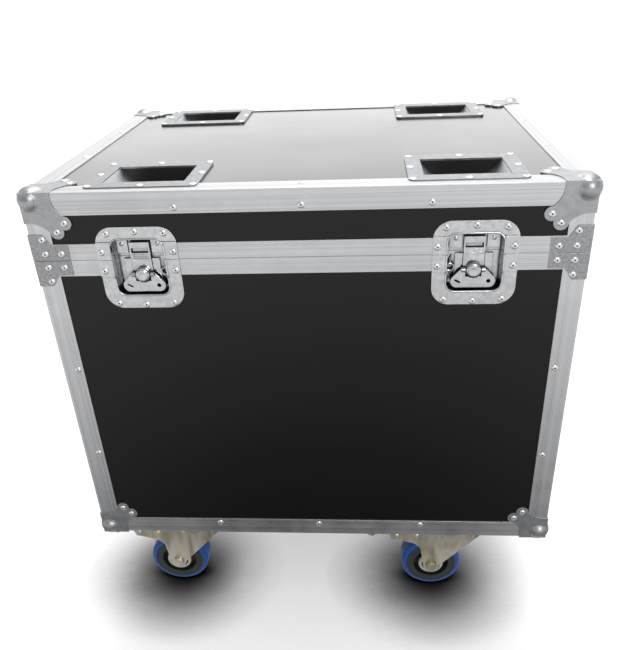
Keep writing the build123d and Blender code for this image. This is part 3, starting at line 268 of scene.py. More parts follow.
def film_faced_plywood():
    """Birch plywood faced with black phenolic film: satin, pressed to a faint pebble grain.

    The film gives a near-black body colour with a soft sheen that grows towards grazing light.
    """
    material, tree, place = new_material("film_faced_plywood")
    cloud = add(tree, "ShaderNodeTexNoise", {"Vector": place, "Scale": per_mm(140), "Detail": 4.0})
    wiped = add(
        tree,
        "ShaderNodeTexNoise",
        {
            "Vector": add(
                tree, "ShaderNodeMapping", {"Vector": place, "Scale": (0.35, 0.35, 2.2)}
            ),
            "Scale": per_mm(60),
            "Detail": 5.0,
        },
    )
    colour = add(
        tree,
        "ShaderNodeMix",
        {0: cloud, "A": linear("#08080a"), "B": linear("#0d0d0e")},
        data_type="RGBA",
    )
    roughness = add(
        tree,
        "ShaderNodeMapRange",
        {"Value": wiped, "From Min": 0.3, "From Max": 0.7, "To Min": 0.18, "To Max": 0.24},
    )
    grain = add(tree, "ShaderNodeTexNoise", {"Vector": place, "Scale": per_mm(1.6), "Detail": 2.0})
    bump = add(
        tree, "ShaderNodeBump", {"Height": grain, "Strength": 0.15, "Distance": 0.03 * MM}
    )
    surface = add(
        tree,
        "ShaderNodeBsdfPrincipled",
        {
            "Base Color": colour.outputs["Result"],
            "Roughness": roughness,
            "Normal": bump,
            "IOR": 1.5,
            "Specular IOR Level": 0.3,
        },
    )
    finish_off(tree, surface)
    return material


def along_the_rail(tree, place):
    """Coordinates with X along each aluminium rail, whichever way the rail runs.

    Uprights run along Z, front and back rails along X, side rails along Y, split at the mitres.
    """
    split = add(tree, "ShaderNodeSeparateXYZ", {0: place})
    x, y, z = (split.outputs[k] for k in range(3))
    flipped = add(tree, "ShaderNodeCombineXYZ", {0: y, 1: x, 2: z})
    standing = add(tree, "ShaderNodeCombineXYZ", {0: z, 1: x, 2: y})
    gaps = []
    for value, half in ((x, HALF_WIDTH), (y, HALF_DEPTH)):
        off = add(tree, "ShaderNodeMath", {0: value}, operation="ABSOLUTE")
        gaps.append(add(tree, "ShaderNodeMath", {0: half * MM, 1: off}, operation="SUBTRACT"))
    on_side = add(tree, "ShaderNodeMath", {0: gaps[0], 1: gaps[1]}, operation="LESS_THAN")
    runs = []
    for low, high in (
        (CASE_BOTTOM + FLANGE, PARTING - CLOSURE_FLANGE),
        (PARTING + CLOSURE_FLANGE, CASE_TOP - FLANGE),
    ):
        off_middle = add(
            tree, "ShaderNodeMath", {0: z, 1: (low + high) / 2 * MM}, operation="SUBTRACT"
        )
        distance = add(tree, "ShaderNodeMath", {0: off_middle}, operation="ABSOLUTE")
        reach = (high - low) / 2 * MM
        runs.append(add(tree, "ShaderNodeMath", {0: distance, 1: reach}, operation="LESS_THAN"))
    upright = add(tree, "ShaderNodeMath", {0: runs[0], 1: runs[1]}, operation="MAXIMUM")
    level = add(
        tree, "ShaderNodeMix", {0: on_side, "A": place, "B": flipped}, data_type="VECTOR"
    )
    chosen = add(
        tree,
        "ShaderNodeMix",
        {0: upright, "A": level.outputs["Result"], "B": standing},
        data_type="VECTOR",
    )
    return chosen.outputs["Result"]


def drawn_aluminium():
    """Extruded aluminium angle, mill finish: die lines run the whole length of each rail.

    The die lines give thin darker and lighter streaks and stretch the highlights across the rail.
    Real lines are finer than a pixel, so they are drawn about 0.8 mm apart.
    """
    material, tree, place = new_material("drawn_aluminium")
    rail = along_the_rail(tree, place)
    line_width, line_length = 0.8, 900.0
    streaks = add(
        tree,
        "ShaderNodeTexNoise",
        {
            "Vector": add(
                tree,
                "ShaderNodeMapping",
                {"Vector": rail, "Scale": (line_width / line_length, 1, 1)},
            ),
            "Scale": per_mm(line_width),
            "Detail": 2.0,
            "Roughness": 0.5,
        },
    )
    bands = add(
        tree,
        "ShaderNodeTexNoise",
        {
            "Vector": add(tree, "ShaderNodeMapping", {"Vector": rail, "Scale": (1, 0.05, 0.05)}),
            "Scale": per_mm(90),
            "Detail": 2.0,
        },
    )
    rubbed = add(tree, "ShaderNodeTexNoise", {"Vector": place, "Scale": per_mm(22), "Detail": 6.0})
    rounded, edge = rounded_edges(tree, 0.8)
    shade = add(
        tree,
        "ShaderNodeValToRGB",
        {0: streaks},
        stops=((0.35, "#b9babc"), (0.6, "#d3d4d6")),
    )
    worn = add(
        tree,
        "ShaderNodeMix",
        {0: edge, "A": shade.outputs["Color"], "B": linear("#eeeeef")},
        data_type="RGBA",
    )
    blend = add(tree, "ShaderNodeMath", {0: streaks, 1: rubbed}, operation="ADD")
    blend = add(tree, "ShaderNodeMath", {0: blend, 1: bands}, operation="ADD")
    roughness = add(
        tree,
        "ShaderNodeMapRange",
        {"Value": blend, "From Min": 1.2, "From Max": 1.8, "To Min": 0.26, "To Max": 0.46},
    )
    roughness, colour = scuffed_on_top(tree, roughness, worn.outputs["Result"], dulling=0.78)
    bump = add(
        tree,
        "ShaderNodeBump",
        {"Height": streaks, "Strength": 0.25, "Distance": 0.04 * MM, "Normal": rounded},
    )
    surface = add(
        tree,
        "ShaderNodeBsdfPrincipled",
        {"Base Color": colour, "Metallic": 1.0, "Roughness": roughness, "Normal": bump},
    )
    finish_off(tree, surface)
    return material


def plated_steel(name, dark, light, low_rough, high_rough, mottle=9.0, recess_shade=0.3):
    """Pressed steel sheet with a zinc coat: soft mottling, handling scratches, bright rubbed edges.

    The coat gives a grey metal with an uneven satin gloss that is brighter where it is rubbed. Its
    clouds are some millimetres wide, coarser than real ones, so that they show. Its recesses are
    darkened with painted shade.
    """
    material, tree, place = new_material(name)
    surface = plated_surface(
        tree, place, dark, light, low_rough, high_rough, "#f2f2f2", mottle, recess_shade
    )
    finish_off(tree, surface)
    return material


def plated_surface(tree, place, dark, light, low_rough, high_rough, edge_colour, mottle, recess_shade):
    """The shader of a zinc coat. Painted shade darkens its recesses down to a share of the colour.
    """
    cloud = add(
        tree,
        "ShaderNodeTexNoise",
        {"Vector": place, "Scale": per_mm(mottle), "Detail": 6.0, "Roughness": 0.62},
    )
    scratch = add(
        tree,
        "ShaderNodeTexNoise",
        {
            "Vector": add(
                tree,
                "ShaderNodeMapping",
                {"Vector": place, "Rotation": (0.3, 0.5, 0.8), "Scale": (0.06, 1, 1)},
            ),
            "Scale": per_mm(1.1),
            "Detail": 3.0,
        },
    )
    rounded, edge = rounded_edges(tree, 0.7)
    shade = add(tree, "ShaderNodeValToRGB", {0: cloud}, stops=((0.3, dark), (0.68, light)))
    worn = add(
        tree,
        "ShaderNodeMix",
        {0: edge, "A": shade.outputs["Color"], "B": linear(edge_colour)},
        data_type="RGBA",
    )
    # Painted shade: the colour darkens where ambient occlusion finds recesses and corners
    recess_shade_reach = 13.0
    open_share = add(
        tree, "ShaderNodeAmbientOcclusion", {"Distance": recess_shade_reach * MM}, samples=6
    ).outputs["AO"]
    recess_shade_factor = add(
        tree,
        "ShaderNodeMapRange",
        {"Value": open_share, "From Min": 0.25, "From Max": 0.85, "To Min": recess_shade, "To Max": 1.0},
    )
    darkened = add(
        tree,
        "ShaderNodeMix",
        {0: 1.0, "A": worn.outputs["Result"], "B": recess_shade_factor},
        data_type="RGBA",
        blend_type="MULTIPLY",
    )
    blend = add(tree, "ShaderNodeMath", {0: cloud, 1: scratch}, operation="ADD")
    roughness = add(
        tree,
        "ShaderNodeMapRange",
        {
            "Value": blend,
            "From Min": 0.75,
            "From Max": 1.25,
            "To Min": low_rough,
            "To Max": high_rough,
        },
    )
    roughness, colour = scuffed_on_top(tree, roughness, darkened.outputs["Result"])
    waves = add(tree, "ShaderNodeTexNoise", {"Vector": place, "Scale": per_mm(34), "Detail": 1.0})
    waved = add(
        tree,
        "ShaderNodeBump",
        {"Height": waves, "Strength": 0.5, "Distance": 2.4 * MM, "Normal": rounded},
    )
    bump = add(
        tree,
        "ShaderNodeBump",
        {"Height": scratch, "Strength": 0.12, "Distance": 0.04 * MM, "Normal": waved},
    )
    return add(
        tree,
        "ShaderNodeBsdfPrincipled",
        {"Base Color": colour, "Metallic": 1.0, "Roughness": roughness, "Normal": bump},
    )


def wheel_dish_steel():
    """Zinc-plated wheel dish whose trough is painted near-black below its rim: painted shade deep
    down and on its end walls.

    The painted shade gives a deep black hollow inside a bright frame.
    """
    material, tree, place = new_material("wheel_dish_steel")
    plated = plated_surface(
        tree, place, "#909294", "#a4a6a8", 0.34, 0.46, "#d8d8d8", mottle=9.0, recess_shade=0.7
    )
    # Masks of the painted shade: deep in the trough, and the end walls inside the rim
    height = add(tree, "ShaderNodeSeparateXYZ", {0: place}).outputs[2]
    normal = add(tree, "ShaderNodeTexCoord").outputs["Normal"]
    facing = add(tree, "ShaderNodeSeparateXYZ", {0: normal})
    end_wall = add(tree, "ShaderNodeMath", {0: facing.outputs[1]}, operation="ABSOLUTE")
    rim_depth = 1.2
    slope_high = 12.0
    slope_low = 27.0
    below = add(
        tree,
        "ShaderNodeMapRange",
        {
            "Value": height,
            "From Min": (CASE_TOP - slope_high) * MM,
            "From Max": (CASE_TOP - slope_low) * MM,
        },
    )
    inside = add(
        tree,
        "ShaderNodeMath",
        {0: height, 1: (CASE_TOP - rim_depth) * MM},
        operation="LESS_THAN",
    )
    wall = add(tree, "ShaderNodeMath", {0: end_wall, 1: inside}, operation="MULTIPLY")
    share = add(tree, "ShaderNodeMath", {0: below, 1: wall}, operation="MAXIMUM")
    # Painted shade: a near-black coat stands in for the shade deep in the trough and on its end
    # walls
    painted_trough_shade = add(
        tree,
        "ShaderNodeBsdfPrincipled",
        {"Base Color": linear("#191919"), "Roughness": 0.45, "IOR": 1.5},
    )
    both = add(tree, "ShaderNodeMixShader", {0: share, 1: plated, 2: painted_trough_shade})
    finish_off(tree, both)
    return material


def castor_zinc():
    """Castor steel with a yellow-passivated zinc coat: a warm grey with pink and green casts."""
    material, tree, place = new_material("castor_zinc")
    cast = add(
        tree,
        "ShaderNodeTexNoise",
        {
            "Vector": add(
                tree, "ShaderNodeMapping", {"Vector": place, "Scale": (1.0, 1.0, 0.25)}
            ),
            "Scale": per_mm(26),
            "Detail": 2.0,
            "Distortion": 0.6,
        },
    )
    tint = add(
        tree,
        "ShaderNodeValToRGB",
        {0: cast},
        stops=((0.34, "#a3a38b"), (0.45, "#c4bdaa"), (0.54, "#dcd6c8"), (0.66, "#cac0b2")),
    )
    rounded, edge = rounded_edges(tree, 0.8)
    worn = add(
        tree,
        "ShaderNodeMix",
        {0: edge, "A": tint.outputs["Color"], "B": linear("#f0eee2")},
        data_type="RGBA",
    )
    fine = add(tree, "ShaderNodeTexNoise", {"Vector": place, "Scale": per_mm(3), "Detail": 5.0})
    roughness = add(
        tree,
        "ShaderNodeMapRange",
        {"Value": fine, "From Min": 0.3, "From Max": 0.7, "To Min": 0.3, "To Max": 0.46},
    )
    bump = add(
        tree,
        "ShaderNodeBump",
        {"Height": fine, "Strength": 0.1, "Distance": 0.05 * MM, "Normal": rounded},
    )
    surface = add(
        tree,
        "ShaderNodeBsdfPrincipled",
        {
            "Base Color": worn.outputs["Result"],
            "Metallic": 1.0,
            "Roughness": roughness,
            "Normal": bump,
        },
    )
    finish_off(tree, surface)
    return material


def blue_tyre_rubber():
    """Elastic solid rubber, moulded: blue with a low gloss and a little dust in its pores."""
    material, tree, place = new_material("blue_tyre_rubber")
    dust = add(tree, "ShaderNodeTexNoise", {"Vector": place, "Scale": per_mm(7), "Detail": 7.0})
    colour = add(
        tree,
        "ShaderNodeMix",
        {0: dust, "A": linear("#16438c"), "B": linear("#2156a4")},
        data_type="RGBA",
    )
    roughness = add(
        tree,
        "ShaderNodeMapRange",
        {"Value": dust, "From Min": 0.3, "From Max": 0.7, "To Min": 0.3, "To Max": 0.46},
    )
    pores = add(tree, "ShaderNodeTexNoise", {"Vector": place, "Scale": per_mm(0.9), "Detail": 2.0})
    bump = add(
        tree, "ShaderNodeBump", {"Height": pores, "Strength": 0.15, "Distance": 0.05 * MM}
    )
    surface = add(
        tree,
        "ShaderNodeBsdfPrincipled",
        {
            "Base Color": colour.outputs["Result"],
            "Roughness": roughness,
            "Normal": bump,
            "IOR": 1.52,
            "Specular IOR Level": 0.35,
        },
    )
    finish_off(tree, surface)
    return material


def moulded_plastic(name, dark, light, roughness, grain):
    """Injection-moulded plastic: an even dark colour and a fine spark-eroded grain."""
    spread = 0.05
    material, tree, place = new_material(name)
    cloud = add(tree, "ShaderNodeTexNoise", {"Vector": place, "Scale": per_mm(12), "Detail": 4.0})
    colour = add(
        tree,
        "ShaderNodeMix",
        {0: cloud, "A": linear(dark), "B": linear(light)},
        data_type="RGBA",
    )
    texture = add(
        tree, "ShaderNodeTexNoise", {"Vector": place, "Scale": per_mm(grain), "Detail": 2.0}
    )
    bump = add(
        tree, "ShaderNodeBump", {"Height": texture, "Strength": 0.3, "Distance": 0.08 * MM}
    )
    gloss = add(
        tree,
        "ShaderNodeMapRange",
        {
            "Value": cloud,
            "From Min": 0.3,
            "From Max": 0.7,
            "To Min": roughness - spread,
            "To Max": roughness + spread,
        },
    )
    surface = add(
        tree,
        "ShaderNodeBsdfPrincipled",
        {"Base Color": colour.outputs["Result"], "Roughness": gloss, "Normal": bump, "IOR": 1.5},
    )
    finish_off(tree, surface)
    return material


def floor_for_other_light(tree, place, glossy):
    """Colour and glow of the floor for mirror rays and bounced light.

    The paper's grey rises with the distance from the middle, a painted shadow round the case, so
    that the panels darken downwards. The paper under the case is painted pale and glows to mirror
    rays, a painted pool of light, because the castors show it.
    """
    near_reach, far_reach = 330.0, 1900.0
    distance = add(tree, "ShaderNodeVectorMath", {0: place}, operation="LENGTH").outputs["Value"]
    away = add(
        tree,
        "ShaderNodeMapRange",
        {"Value": distance, "From Min": near_reach * MM, "From Max": far_reach * MM},
        interpolation_type="SMOOTHSTEP",
    )
    # Painted shadow: darker grey close round the case, paler far out
    ring = add(
        tree,
        "ShaderNodeValToRGB",
        {0: away},
        stops=((0.0, "#707070"), (0.3, "#9c9c9c"), (1.0, "#c2c2c2")),
    )
    painted_light_margin, ring_margin = 30.0, 110.0
    split = add(tree, "ShaderNodeSeparateXYZ", {0: place})
    within = []
    for axis, half in ((0, HALF_WIDTH), (1, HALF_DEPTH)):
        off = add(tree, "ShaderNodeMath", {0: split.outputs[axis]}, operation="ABSOLUTE")
        fade = add(
            tree,
            "ShaderNodeMapRange",
            {
                "Value": off,
                "From Min": (half + ring_margin) * MM,
                "From Max": (half + painted_light_margin) * MM,
            },
            interpolation_type="SMOOTHSTEP",
        )
        within.append(fade)
    under = add(tree, "ShaderNodeMath", {0: within[0], 1: within[1]}, operation="MULTIPLY")
    # Painted light: the paper under the case is paler, and glows to mirror rays below
    tone = add(
        tree,
        "ShaderNodeMix",
        {0: under, "A": ring.outputs["Color"], "B": linear("#c4c4c4")},
        data_type="RGBA",
    )
    # The glow shows the pale far floor to mirror rays, and paints light under the case
    mirror_glow = 0.2
    shown = add(tree, "ShaderNodeMath", {0: away, 1: under}, operation="MAXIMUM")
    shown = add(tree, "ShaderNodeMath", {0: shown, 1: glossy}, operation="MULTIPLY")
    glow = add(tree, "ShaderNodeMath", {0: shown, 1: mirror_glow}, operation="MULTIPLY")
    return tone.outputs["Result"], glow


def floor_for_the_eye(tree):
    """Colour and glow of the floor for the eye: open floor is white.

    Spots close to a wheel are darker: how open they are, raised to a power, as contact shade.
    """
    contact_reach = 140.0
    contact_power = 7.0
    open_glow = 0.42
    around = add(
        tree, "ShaderNodeAmbientOcclusion", {"Distance": contact_reach * MM}, samples=32
    ).outputs["AO"]
    open_share = add(tree, "ShaderNodeMath", {0: around, 1: contact_power}, operation="POWER")
    tone = add(
        tree,
        "ShaderNodeMix",
        {0: 1.0, "A": linear("#cccccc"), "B": open_share},
        data_type="RGBA",
        blend_type="MULTIPLY",
    )
    glow = add(tree, "ShaderNodeMath", {0: open_share, 1: open_glow}, operation="MULTIPLY")
    return tone.outputs["Result"], glow


def studio_floor():
    """Matt paper floor, white to the eye; to other light, a painted shadow round the case."""
    material, tree, place = new_material("studio_paper")
    path = add(tree, "ShaderNodeLightPath")
    seen = add(
        tree,
        "ShaderNodeMath",
        {0: path.outputs["Is Camera Ray"], 1: path.outputs["Is Transmission Ray"]},
        operation="MAXIMUM",
    )
    other_tone, other_glow = floor_for_other_light(tree, place, path.outputs["Is Glossy Ray"])
    eye_tone, eye_glow = floor_for_the_eye(tree)
    tone = add(
        tree, "ShaderNodeMix", {0: seen, "A": other_tone, "B": eye_tone}, data_type="RGBA"
    )
    strength = add(tree, "ShaderNodeMix", {0: seen, "A": other_glow, "B": eye_glow})
    paper = add(tree, "ShaderNodeBsdfDiffuse", {"Color": tone.outputs["Result"]})
    glow = add(tree, "ShaderNodeEmission", {"Color": (1, 1, 1, 1), "Strength": strength})
    finish_off(tree, add(tree, "ShaderNodeAddShader", {0: paper, 1: glow}))
    return material


ply = film_faced_plywood()
aluminium = drawn_aluminium()
# Each plated finish darkens its recesses with painted shade, down to the share given last or 0.3
corner_steel = plated_steel("satin_zinc_steel", "#9a9c9e", "#b2b4b6", 0.34, 0.46, recess_shade=0.7)
brace_steel = plated_steel(
    "dull_zinc_steel", "#848587", "#b2b3b5", 0.32, 0.5, mottle=3.5, recess_shade=0.6
)
latch_steel = plated_steel("latch_steel", "#b2b4b6", "#d0d2d4", 0.1, 0.22, mottle=7.0)
rivet_steel = plated_steel(
    "rivet_steel", "#dedfe0", "#f0f0f1", 0.26, 0.36, mottle=3.0, recess_shade=0.75
)
dish_steel = wheel_dish_steel()
castor_steel = castor_zinc()
tyre_rubber = blue_tyre_rubber()
hub_nylon = moulded_plastic("hub_nylon", "#1a211e", "#262e2a", 0.5, 0.8)
grip_vinyl = moulded_plastic("grip_vinyl", "#141414", "#1d1d1d", 0.5, 1.4)
# Near-black steel for the real mandrel ends: its darkness paints the shade down in the rivet holes
shaded_mandrel_steel = plated_steel("mandrel_steel_painted_shade", "#2b2b2c", "#454546", 0.3, 0.45, mottle=4.0)
bright_rod = plated_steel("bright_rod_steel", "#c9cacc", "#e3e4e6", 0.14, 0.24, mottle=12.0)

FINISHES = {
    "laminated_plywood": ply,
    "extruded_aluminium": aluminium,
    "zinc_plated_steel": corner_steel,
    "dull_zinc_steel": brace_steel,
    "latch_steel": latch_steel,
    "rivet_steel": rivet_steel,
    "yellow_zinc_steel": castor_steel,
    "blue_tyre": tyre_rubber,
    "grey_hub": hub_nylon,
    "chrome_rod": bright_rod,
    "black_grip": grip_vinyl,
}
for part in frame["record"]["subparts"]:
    own = nodes[part["node"]]
    own.data.materials.clear()
    own.data.materials.append(FINISHES[part["material_slot"]])
nodes["castor_dishes"].data.materials[0] = dish_steel


# Small fittings


def islands(node):
    """The separate solids of a node, each as its points in millimetres.

    Points at one place are given one number, and the lowest number spreads over each triangle
    until nothing changes, so that every solid ends with a number of its own.
    """
    mesh = nodes[node].data
    points = np.empty(len(mesh.vertices) * 3)
    mesh.vertices.foreach_get("co", points)
    points = points.reshape(-1, 3) / MM
    corners = np.empty(len(mesh.loops), int)
    mesh.loops.foreach_get("vertex_index", corners)
    rounding = 0.01
    keys = np.round(points / rounding).astype(np.int64)
    same = np.unique(keys, axis=0, return_inverse=True)[1].ravel()
    triangles = same[corners].reshape(-1, 3)
    label = np.arange(same.max() + 1)
    while True:
        lowest = label[triangles].min(1)
        spread = label.copy()
        for k in range(3):
            np.minimum.at(spread, triangles[:, k], lowest)
        if np.array_equal(spread, label):
            break
        label = spread
    solid = label[same]
    return [points[solid == value] for value in np.unique(solid)]


def rivet_seats(node):
    """Where each rivet of a node sits: the middle of its foot, and its outward axis."""
    head_height = 1.5
    seats = []
    for points in islands(node):
        low, high = points.min(0), points.max(0)
        thin = int(np.argmin(high - low))
        centre = (low + high) / 2
        axis = np.zeros(3)
        case_middle = (CASE_BOTTOM + CASE_TOP) / 2 if thin == 2 else 0
        axis[thin] = math.copysign(1, centre[thin] - case_middle)
        seats.append((centre - axis * head_height / 2, axis))
    return seats


def rivet_mandrels(name, seats, body):
    """Blind rivets' broken mandrel ends: discs square to their axes, dark as painted shade."""
    profile = [(1.15, 0.5), (1.15, 0.95)]
    discs = [turned_part(profile, seat, axis, sides=12) for seat, axis in seats]
    return piece(name, together(discs), shaded_mandrel_steel, body)


def rivet_rims(name, seats, body):
    """Wide domed flanges of the blind rivets: a section turned about each rivet's axis.

    The ring is 9.6 mm wide and leaves the mandrel's hole open.
    """
    profile = [
        (1.25, 0.9),
        (1.3, 1.5),
        (1.7, 1.58),
        (2.6, 1.44),
        (3.5, 1.08),
        (4.3, 0.6),
        (4.8, 0.12),
        (4.8, 0.02),
        (1.4, 0.02),
    ]
    rims = [turned_part(profile, seat, axis, sides=20, closed=True) for seat, axis in seats]
    return piece(name, together(rims), rivet_steel, body)


def latch_rim(name, place, up, body):
    """Rolled lip round a latch recess, above or below the parting line.

    A circle goes along half a rounded rectangle. Over the closure profile it lies a sheet's
    thickness further out, and the step between is a straight slope.
    """
    half_x = 36.2
    reach = 28.7 if up > 0 else 52.2
    corner = 12.7
    lip_radius = 1.25
    step_start = CLOSURE_FLANGE + 1.0
    step_run = 1.5
    gap = 0.35
    bend = np.linspace(0, math.pi / 2, 9)
    leg = np.linspace(gap, reach - corner, 18)
    right_leg = np.stack([np.full_like(leg, half_x), leg], 1)
    arc_middle = np.array([half_x - corner, reach - corner])
    turn = arc_middle + corner * np.stack([np.cos(bend), np.sin(bend)], 1)
    flat = np.linspace(half_x - corner, 0, 8)[1:]
    top = np.stack([flat, np.full_like(flat, reach)], 1)
    half_path = np.concatenate([right_leg, turn[1:], top])
    mirrored = half_path[:-1][::-1] * (-1, 1)
    sideways, from_seam = np.concatenate([half_path, mirrored]).T
    out = DISH_SHEET * np.clip((step_start + step_run - from_seam) / step_run, 0, 1)
    path = np.stack([place + sideways, FRONT - out, PARTING + up * from_seam], 1)
    return piece(name, tube(path, lip_radius, (0, 1, 0)), latch_steel, body)


def latch_spring(name, place, side):
    """Torsion spring of the hook plate: a circle goes along a helix and a straight leg at each end.

    The helix runs into the recess, its depth in proportion to its angle.
    """
    wire_radius = 1.0
    coil_radius = 5.0
    coil_x = place - side * 30.2
    coil_z = PARTING - 21.0
    near = 8.6
    pitch = 1.75
    turns = 2.5
    first_angle = 0.35 * math.pi
    upper_tip = (2.4, 6.5)
    lower_tip = (-3.2, 44.0)
    angle = np.linspace(first_angle, first_angle + turns * TURN, 90)
    depth = near + pitch * (angle - first_angle) / TURN
    coil = np.stack(
        [
            coil_x - side * coil_radius * np.cos(angle),
            FRONT + depth,
            coil_z + coil_radius * np.sin(angle),
        ],
        1,
    )
    first_end, last_end = (
        np.array([coil_x + side * sideways, FRONT + back, PARTING - down])
        for (sideways, down), back in ((upper_tip, near), (lower_tip, depth[-1]))
    )
    share = np.linspace(0, 1, 14)[:, None]
    first_leg = first_end + (coil[0] - first_end) * share[:-1]
    last_leg = coil[-1] + (last_end - coil[-1]) * share[1:]
    path = np.concatenate([first_leg, coil, last_leg])
    shape = tube(path, wire_radius, (0, 1, 0), sides=8)
    return piece(name, shape, bright_rod, "base")


def keeper_rivets(name, place):
    """Two flat-headed rivets that hold the keeper's plates to the upper dish."""
    plate_front = 11.0
    head_radius = 3.0
    head_height = 0.9
    spread = 24.0
    rise = 17.5
    heads = []
    for s in (-1, 1):
        spot = (place + s * spread, FRONT + plate_front, PARTING + rise)
        heads.append(dome(spot, (0, -1, 0), head_radius, head_height))
    return piece(name, together(heads), latch_steel, "lid")


def hook_ridges(name, place, body):
    """Finger ridges pressed across the hook plate below its window: rods half sunk in its face."""
    ridge_radius = 0.75
    half_length = 10.8
    face = 8.7
    rises = (3.4, 0.6, -1.9)
    along = np.linspace(-half_length, half_length, 6)[:, None] * (1, 0, 0)
    ridges = []
    for rise in rises:
        path = along + (place, FRONT + face, PARTING + rise)
        ridges.append(tube(path, ridge_radius, (0, 0, 1)))
    return piece(name, together(ridges), latch_steel, body)


def stud_button(name, stud, body):
    """Face of the latch stud, turned about its axis: a raised ring round a shallow dimple."""
    face = 1.5
    profile = [
        (7.6, -0.3),
        (7.4, 0.0),
        (7.0, 0.55),
        (5.6, 0.7),
        (4.4, 0.45),
        (2.2, 0.12),
        (0.4, 0.05),
    ]
    shape = turned_part(profile, (stud[0], FRONT + face, stud[2]), (0, -1, 0))
    return piece(name, shape, latch_steel, body)


def ball_corner_fillets(name, level, up, body):
    """Hollow curve where each ball rises out of its three plates.

    Its section is an arc that touches plate and ball, closed by two points sunk into the metal.
    Each point goes round a circle over the plate, up to the mitre plane where the hollow curves of
    two plates meet.
    """
    ball_radius = 17.5
    inset = 10.5
    plate = 1.2
    fillet = 6.0
    sink = 0.4
    rise = inset + plate
    foot = math.sqrt((ball_radius + fillet) ** 2 - (rise + fillet) ** 2)
    lean = math.atan2(foot, rise + fillet)
    turn = np.linspace(0, lean, 7)
    height = np.append(fillet * (1 - np.cos(turn)), [-sink, -sink])
    reach = foot - fillet * np.sin(turn)
    reach = np.append(reach, [reach[-1] - sink, foot])
    start = np.arcsin(np.clip(-(rise + height) / reach, -1, 1))
    angle = start + (math.pi / 2 - 2 * start) * np.linspace(0, 1, 40)[:, None]
    u = inset + reach * np.cos(angle)
    v = inset + reach * np.sin(angle)
    out = np.broadcast_to(-plate - height, u.shape)
    fillets = []
    for sx in (-1, 1):
        for sy in (-1, 1):
            corner = np.array([sx * HALF_WIDTH, sy * HALF_DEPTH, level])
            inward = np.array([-sx, -sy, -up])
            for order in ((u, v, out), (u, out, v), (out, u, v)):
                fillets.append(skin(corner + np.stack(order, -1) * inward))
    return piece(name, together(fillets), corner_steel, body)


def dust_caps(name, castor, body):
    """Thread guards either side of a hub: a section with two rolled rings, turned on the axle."""
    centre = middle(f"castor_hub_{castor}")
    profile = [
        (15.6, 19.6),
        (15.6, 20.35),
        (16.4, 20.45),
        (17.2, 20.1),
        (18.2, 20.4),
        (19.4, 20.3),
        (20.6, 19.2),
        (21.4, 17.0),
        (20.9, 16.8),
        (19.4, 18.6),
    ]
    caps = [turned_part(profile, centre, (0, s, 0), sides=56, closed=True) for s in (-1, 1)]
    return piece(name, together(caps), castor_steel, body)


def wheel_cheeks(name, castor, body):
    """Hub flanges over the tyre's flanks: a section with two raised rings, turned on the axle."""
    centre = middle(f"castor_hub_{castor}")
    profile = [
        (29.6, 17.4),
        (29.6, 18.3),
        (31.0, 18.8),
        (33.5, 18.9),
        (34.6, 18.4),
        (39.4, 18.5),
        (40.6, 18.9),
        (41.6, 18.5),
        (41.9, 17.6),
    ]
    cheeks = [turned_part(profile, centre, (0, s, 0), sides=64, closed=True) for s in (-1, 1)]
    return piece(name, together(cheeks), hub_nylon, body)


def fork_pins(name, castor, body):
    """Pin heads on the arms of a braked fork, over the pedal."""
    wheel = middle(f"castor_tyre_{castor}")
    half_width = 23.6
    behind_axle = (26.0, 59.0)
    above_axle = 70.0
    head_radius = 3.2
    head_height = 1.3
    heads = []
    for behind in behind_axle:
        for s in (-1, 1):
            spot = wheel + (-behind, s * half_width, above_axle)
            heads.append(dome(spot, (0, s, 0), head_radius, head_height))
    return piece(name, together(heads), rivet_steel, body)


for level in ("base", "lid"):
    seats = rivet_seats(f"{level}_rivets")
    rivet_mandrels(f"{level}_rivet_mandrels", seats, level)
    rivet_rims(f"{level}_rivet_rims", seats, level)
for side_name, side in SIDES:
    stud = middle(f"latch_stud_{side_name}")
    latch_x = stud[0]
    latch_rim(f"latch_rim_lower_{side_name}", latch_x, -1, "base")
    latch_rim(f"latch_rim_upper_{side_name}", latch_x, 1, "lid")
    latch_spring(f"latch_spring_{side_name}", latch_x, side)
    keeper_rivets(f"keeper_rivets_{side_name}", latch_x)
    hook_ridges(f"hook_ridges_{side_name}", latch_x, f"hook_{side_name}")
    stud_button(f"stud_button_{side_name}", stud, f"stud_{side_name}")
ball_corner_fillets("lid_ball_fillets", CASE_TOP, 1, "lid")
ball_corner_fillets("base_ball_fillets", CASE_BOTTOM, -1, "base")
for castor in CASTORS:
    dust_caps(f"dust_caps_{castor}", castor, f"wheel_{castor}")
    wheel_cheeks(f"wheel_cheeks_{castor}", castor, f"wheel_{castor}")
    if castor.startswith("front"):
        fork_pins(f"fork_pins_{castor}", castor, f"fork_{castor}")


# Floor, light and camera


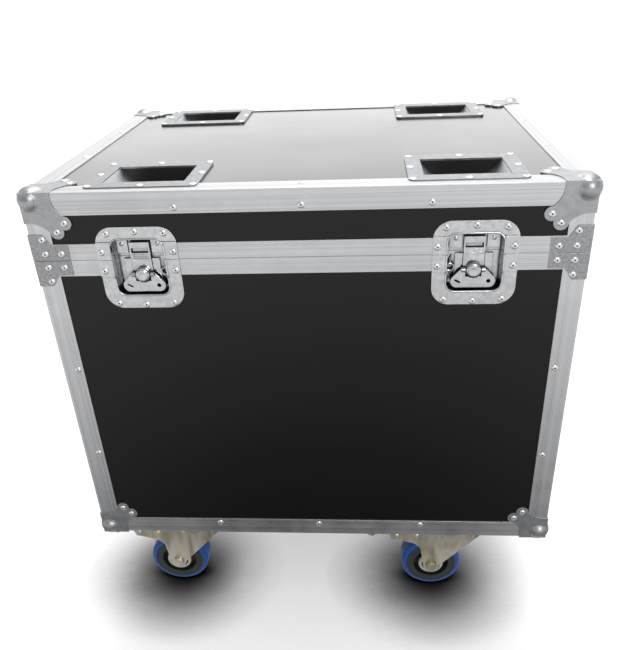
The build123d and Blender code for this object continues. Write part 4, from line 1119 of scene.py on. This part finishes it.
def studio():
    """White paper floor, a sky that is brighter behind and overhead, and two soft suns.

    The sky is brightest low behind the case, and the lid shows that glare. The eye sees it white.
    """
    far = 60.0  # metres from the case to the floor's edges
    mesh = bpy.data.meshes.new("studio_floor")
    corners = [(-far, -far, 0), (far, -far, 0), (far, far, 0), (-far, far, 0)]
    mesh.from_pydata(corners, [], [(0, 1, 2, 3)])
    mesh.materials.append(studio_floor())
    floor = bpy.data.objects.new("studio_floor", mesh)
    bpy.context.scene.collection.objects.link(floor)

    world = bpy.data.worlds.new("studio_world")
    bpy.context.scene.world = world
    world.use_nodes = True
    tree = world.node_tree
    tree.nodes.clear()
    direction = add(tree, "ShaderNodeTexCoord").outputs["Generated"]
    lights = []
    # Overhead light, then the glare behind the case: each rises as a direction nears its aim
    for aim, from_low, from_high, low, high in (
        ((0.0, 0.5, 0.87), -0.5, 0.8, 0.32, 0.8),
        ((0.0, 0.97, 0.24), 0.72, 0.96, 0.0, 1.9),
    ):
        towards = add(
            tree, "ShaderNodeVectorMath", {0: direction, 1: aim}, operation="DOT_PRODUCT"
        ).outputs["Value"]
        patch = add(
            tree,
            "ShaderNodeMapRange",
            {
                "Value": towards,
                "From Min": from_low,
                "From Max": from_high,
                "To Min": low,
                "To Max": high,
            },
            interpolation_type="SMOOTHSTEP",
        )
        lights.append(patch)
    light = add(tree, "ShaderNodeMath", {0: lights[0], 1: lights[1]}, operation="ADD")
    seen = add(tree, "ShaderNodeLightPath").outputs["Is Camera Ray"]
    strength = add(tree, "ShaderNodeMix", {0: seen, "A": light, "B": 1.0})
    sky = add(tree, "ShaderNodeBackground", {"Color": (1, 1, 1, 1), "Strength": strength})
    add(tree, "ShaderNodeOutputWorld", {"Surface": sky})

    for name, aim, width, strength in (
        ("back_sun", (-0.08, -0.34, -0.95), 40.0, 1.7),
        ("front_sun", (-0.3, 0.9, -0.42), 24.0, 1.0),
    ):
        lamp = bpy.data.lights.new(name, "SUN")
        lamp.angle = math.radians(width)
        lamp.energy = strength
        holder = bpy.data.objects.new(name, lamp)
        bpy.context.scene.collection.objects.link(holder)
        tilt = math.acos(-aim[2] / math.hypot(*aim))
        holder.rotation_euler = (tilt, 0, math.atan2(aim[1], aim[0]) - math.pi / 2)


def camera():
    """Camera at the photograph's view, its focal length given in pixels of the long side."""
    focal_pixels = 672.55
    long_side_pixels = 650
    place = (82.9, FRONT - 804.7, CASE_TOP + 241.4)
    heading, pitch, roll = 4.713, 28.243, -2.723
    lens = bpy.data.cameras.new("photo_camera")
    lens.sensor_width = 36.0
    lens.lens = focal_pixels / long_side_pixels * lens.sensor_width
    lens.clip_start = 0.05
    lens.clip_end = 200.0
    holder = bpy.data.objects.new("photo_camera", lens)
    bpy.context.scene.collection.objects.link(holder)
    turn = (
        Matrix.Rotation(math.radians(heading), 4, "Z")
        @ Matrix.Rotation(math.radians(90 - pitch), 4, "X")
        @ Matrix.Rotation(math.radians(roll), 4, "Z")
    )
    holder.matrix_world = Matrix.Translation([value * MM for value in place]) @ turn
    bpy.context.scene.camera = holder


studio()
camera()
bpy.context.scene.view_settings.view_transform = "Standard"
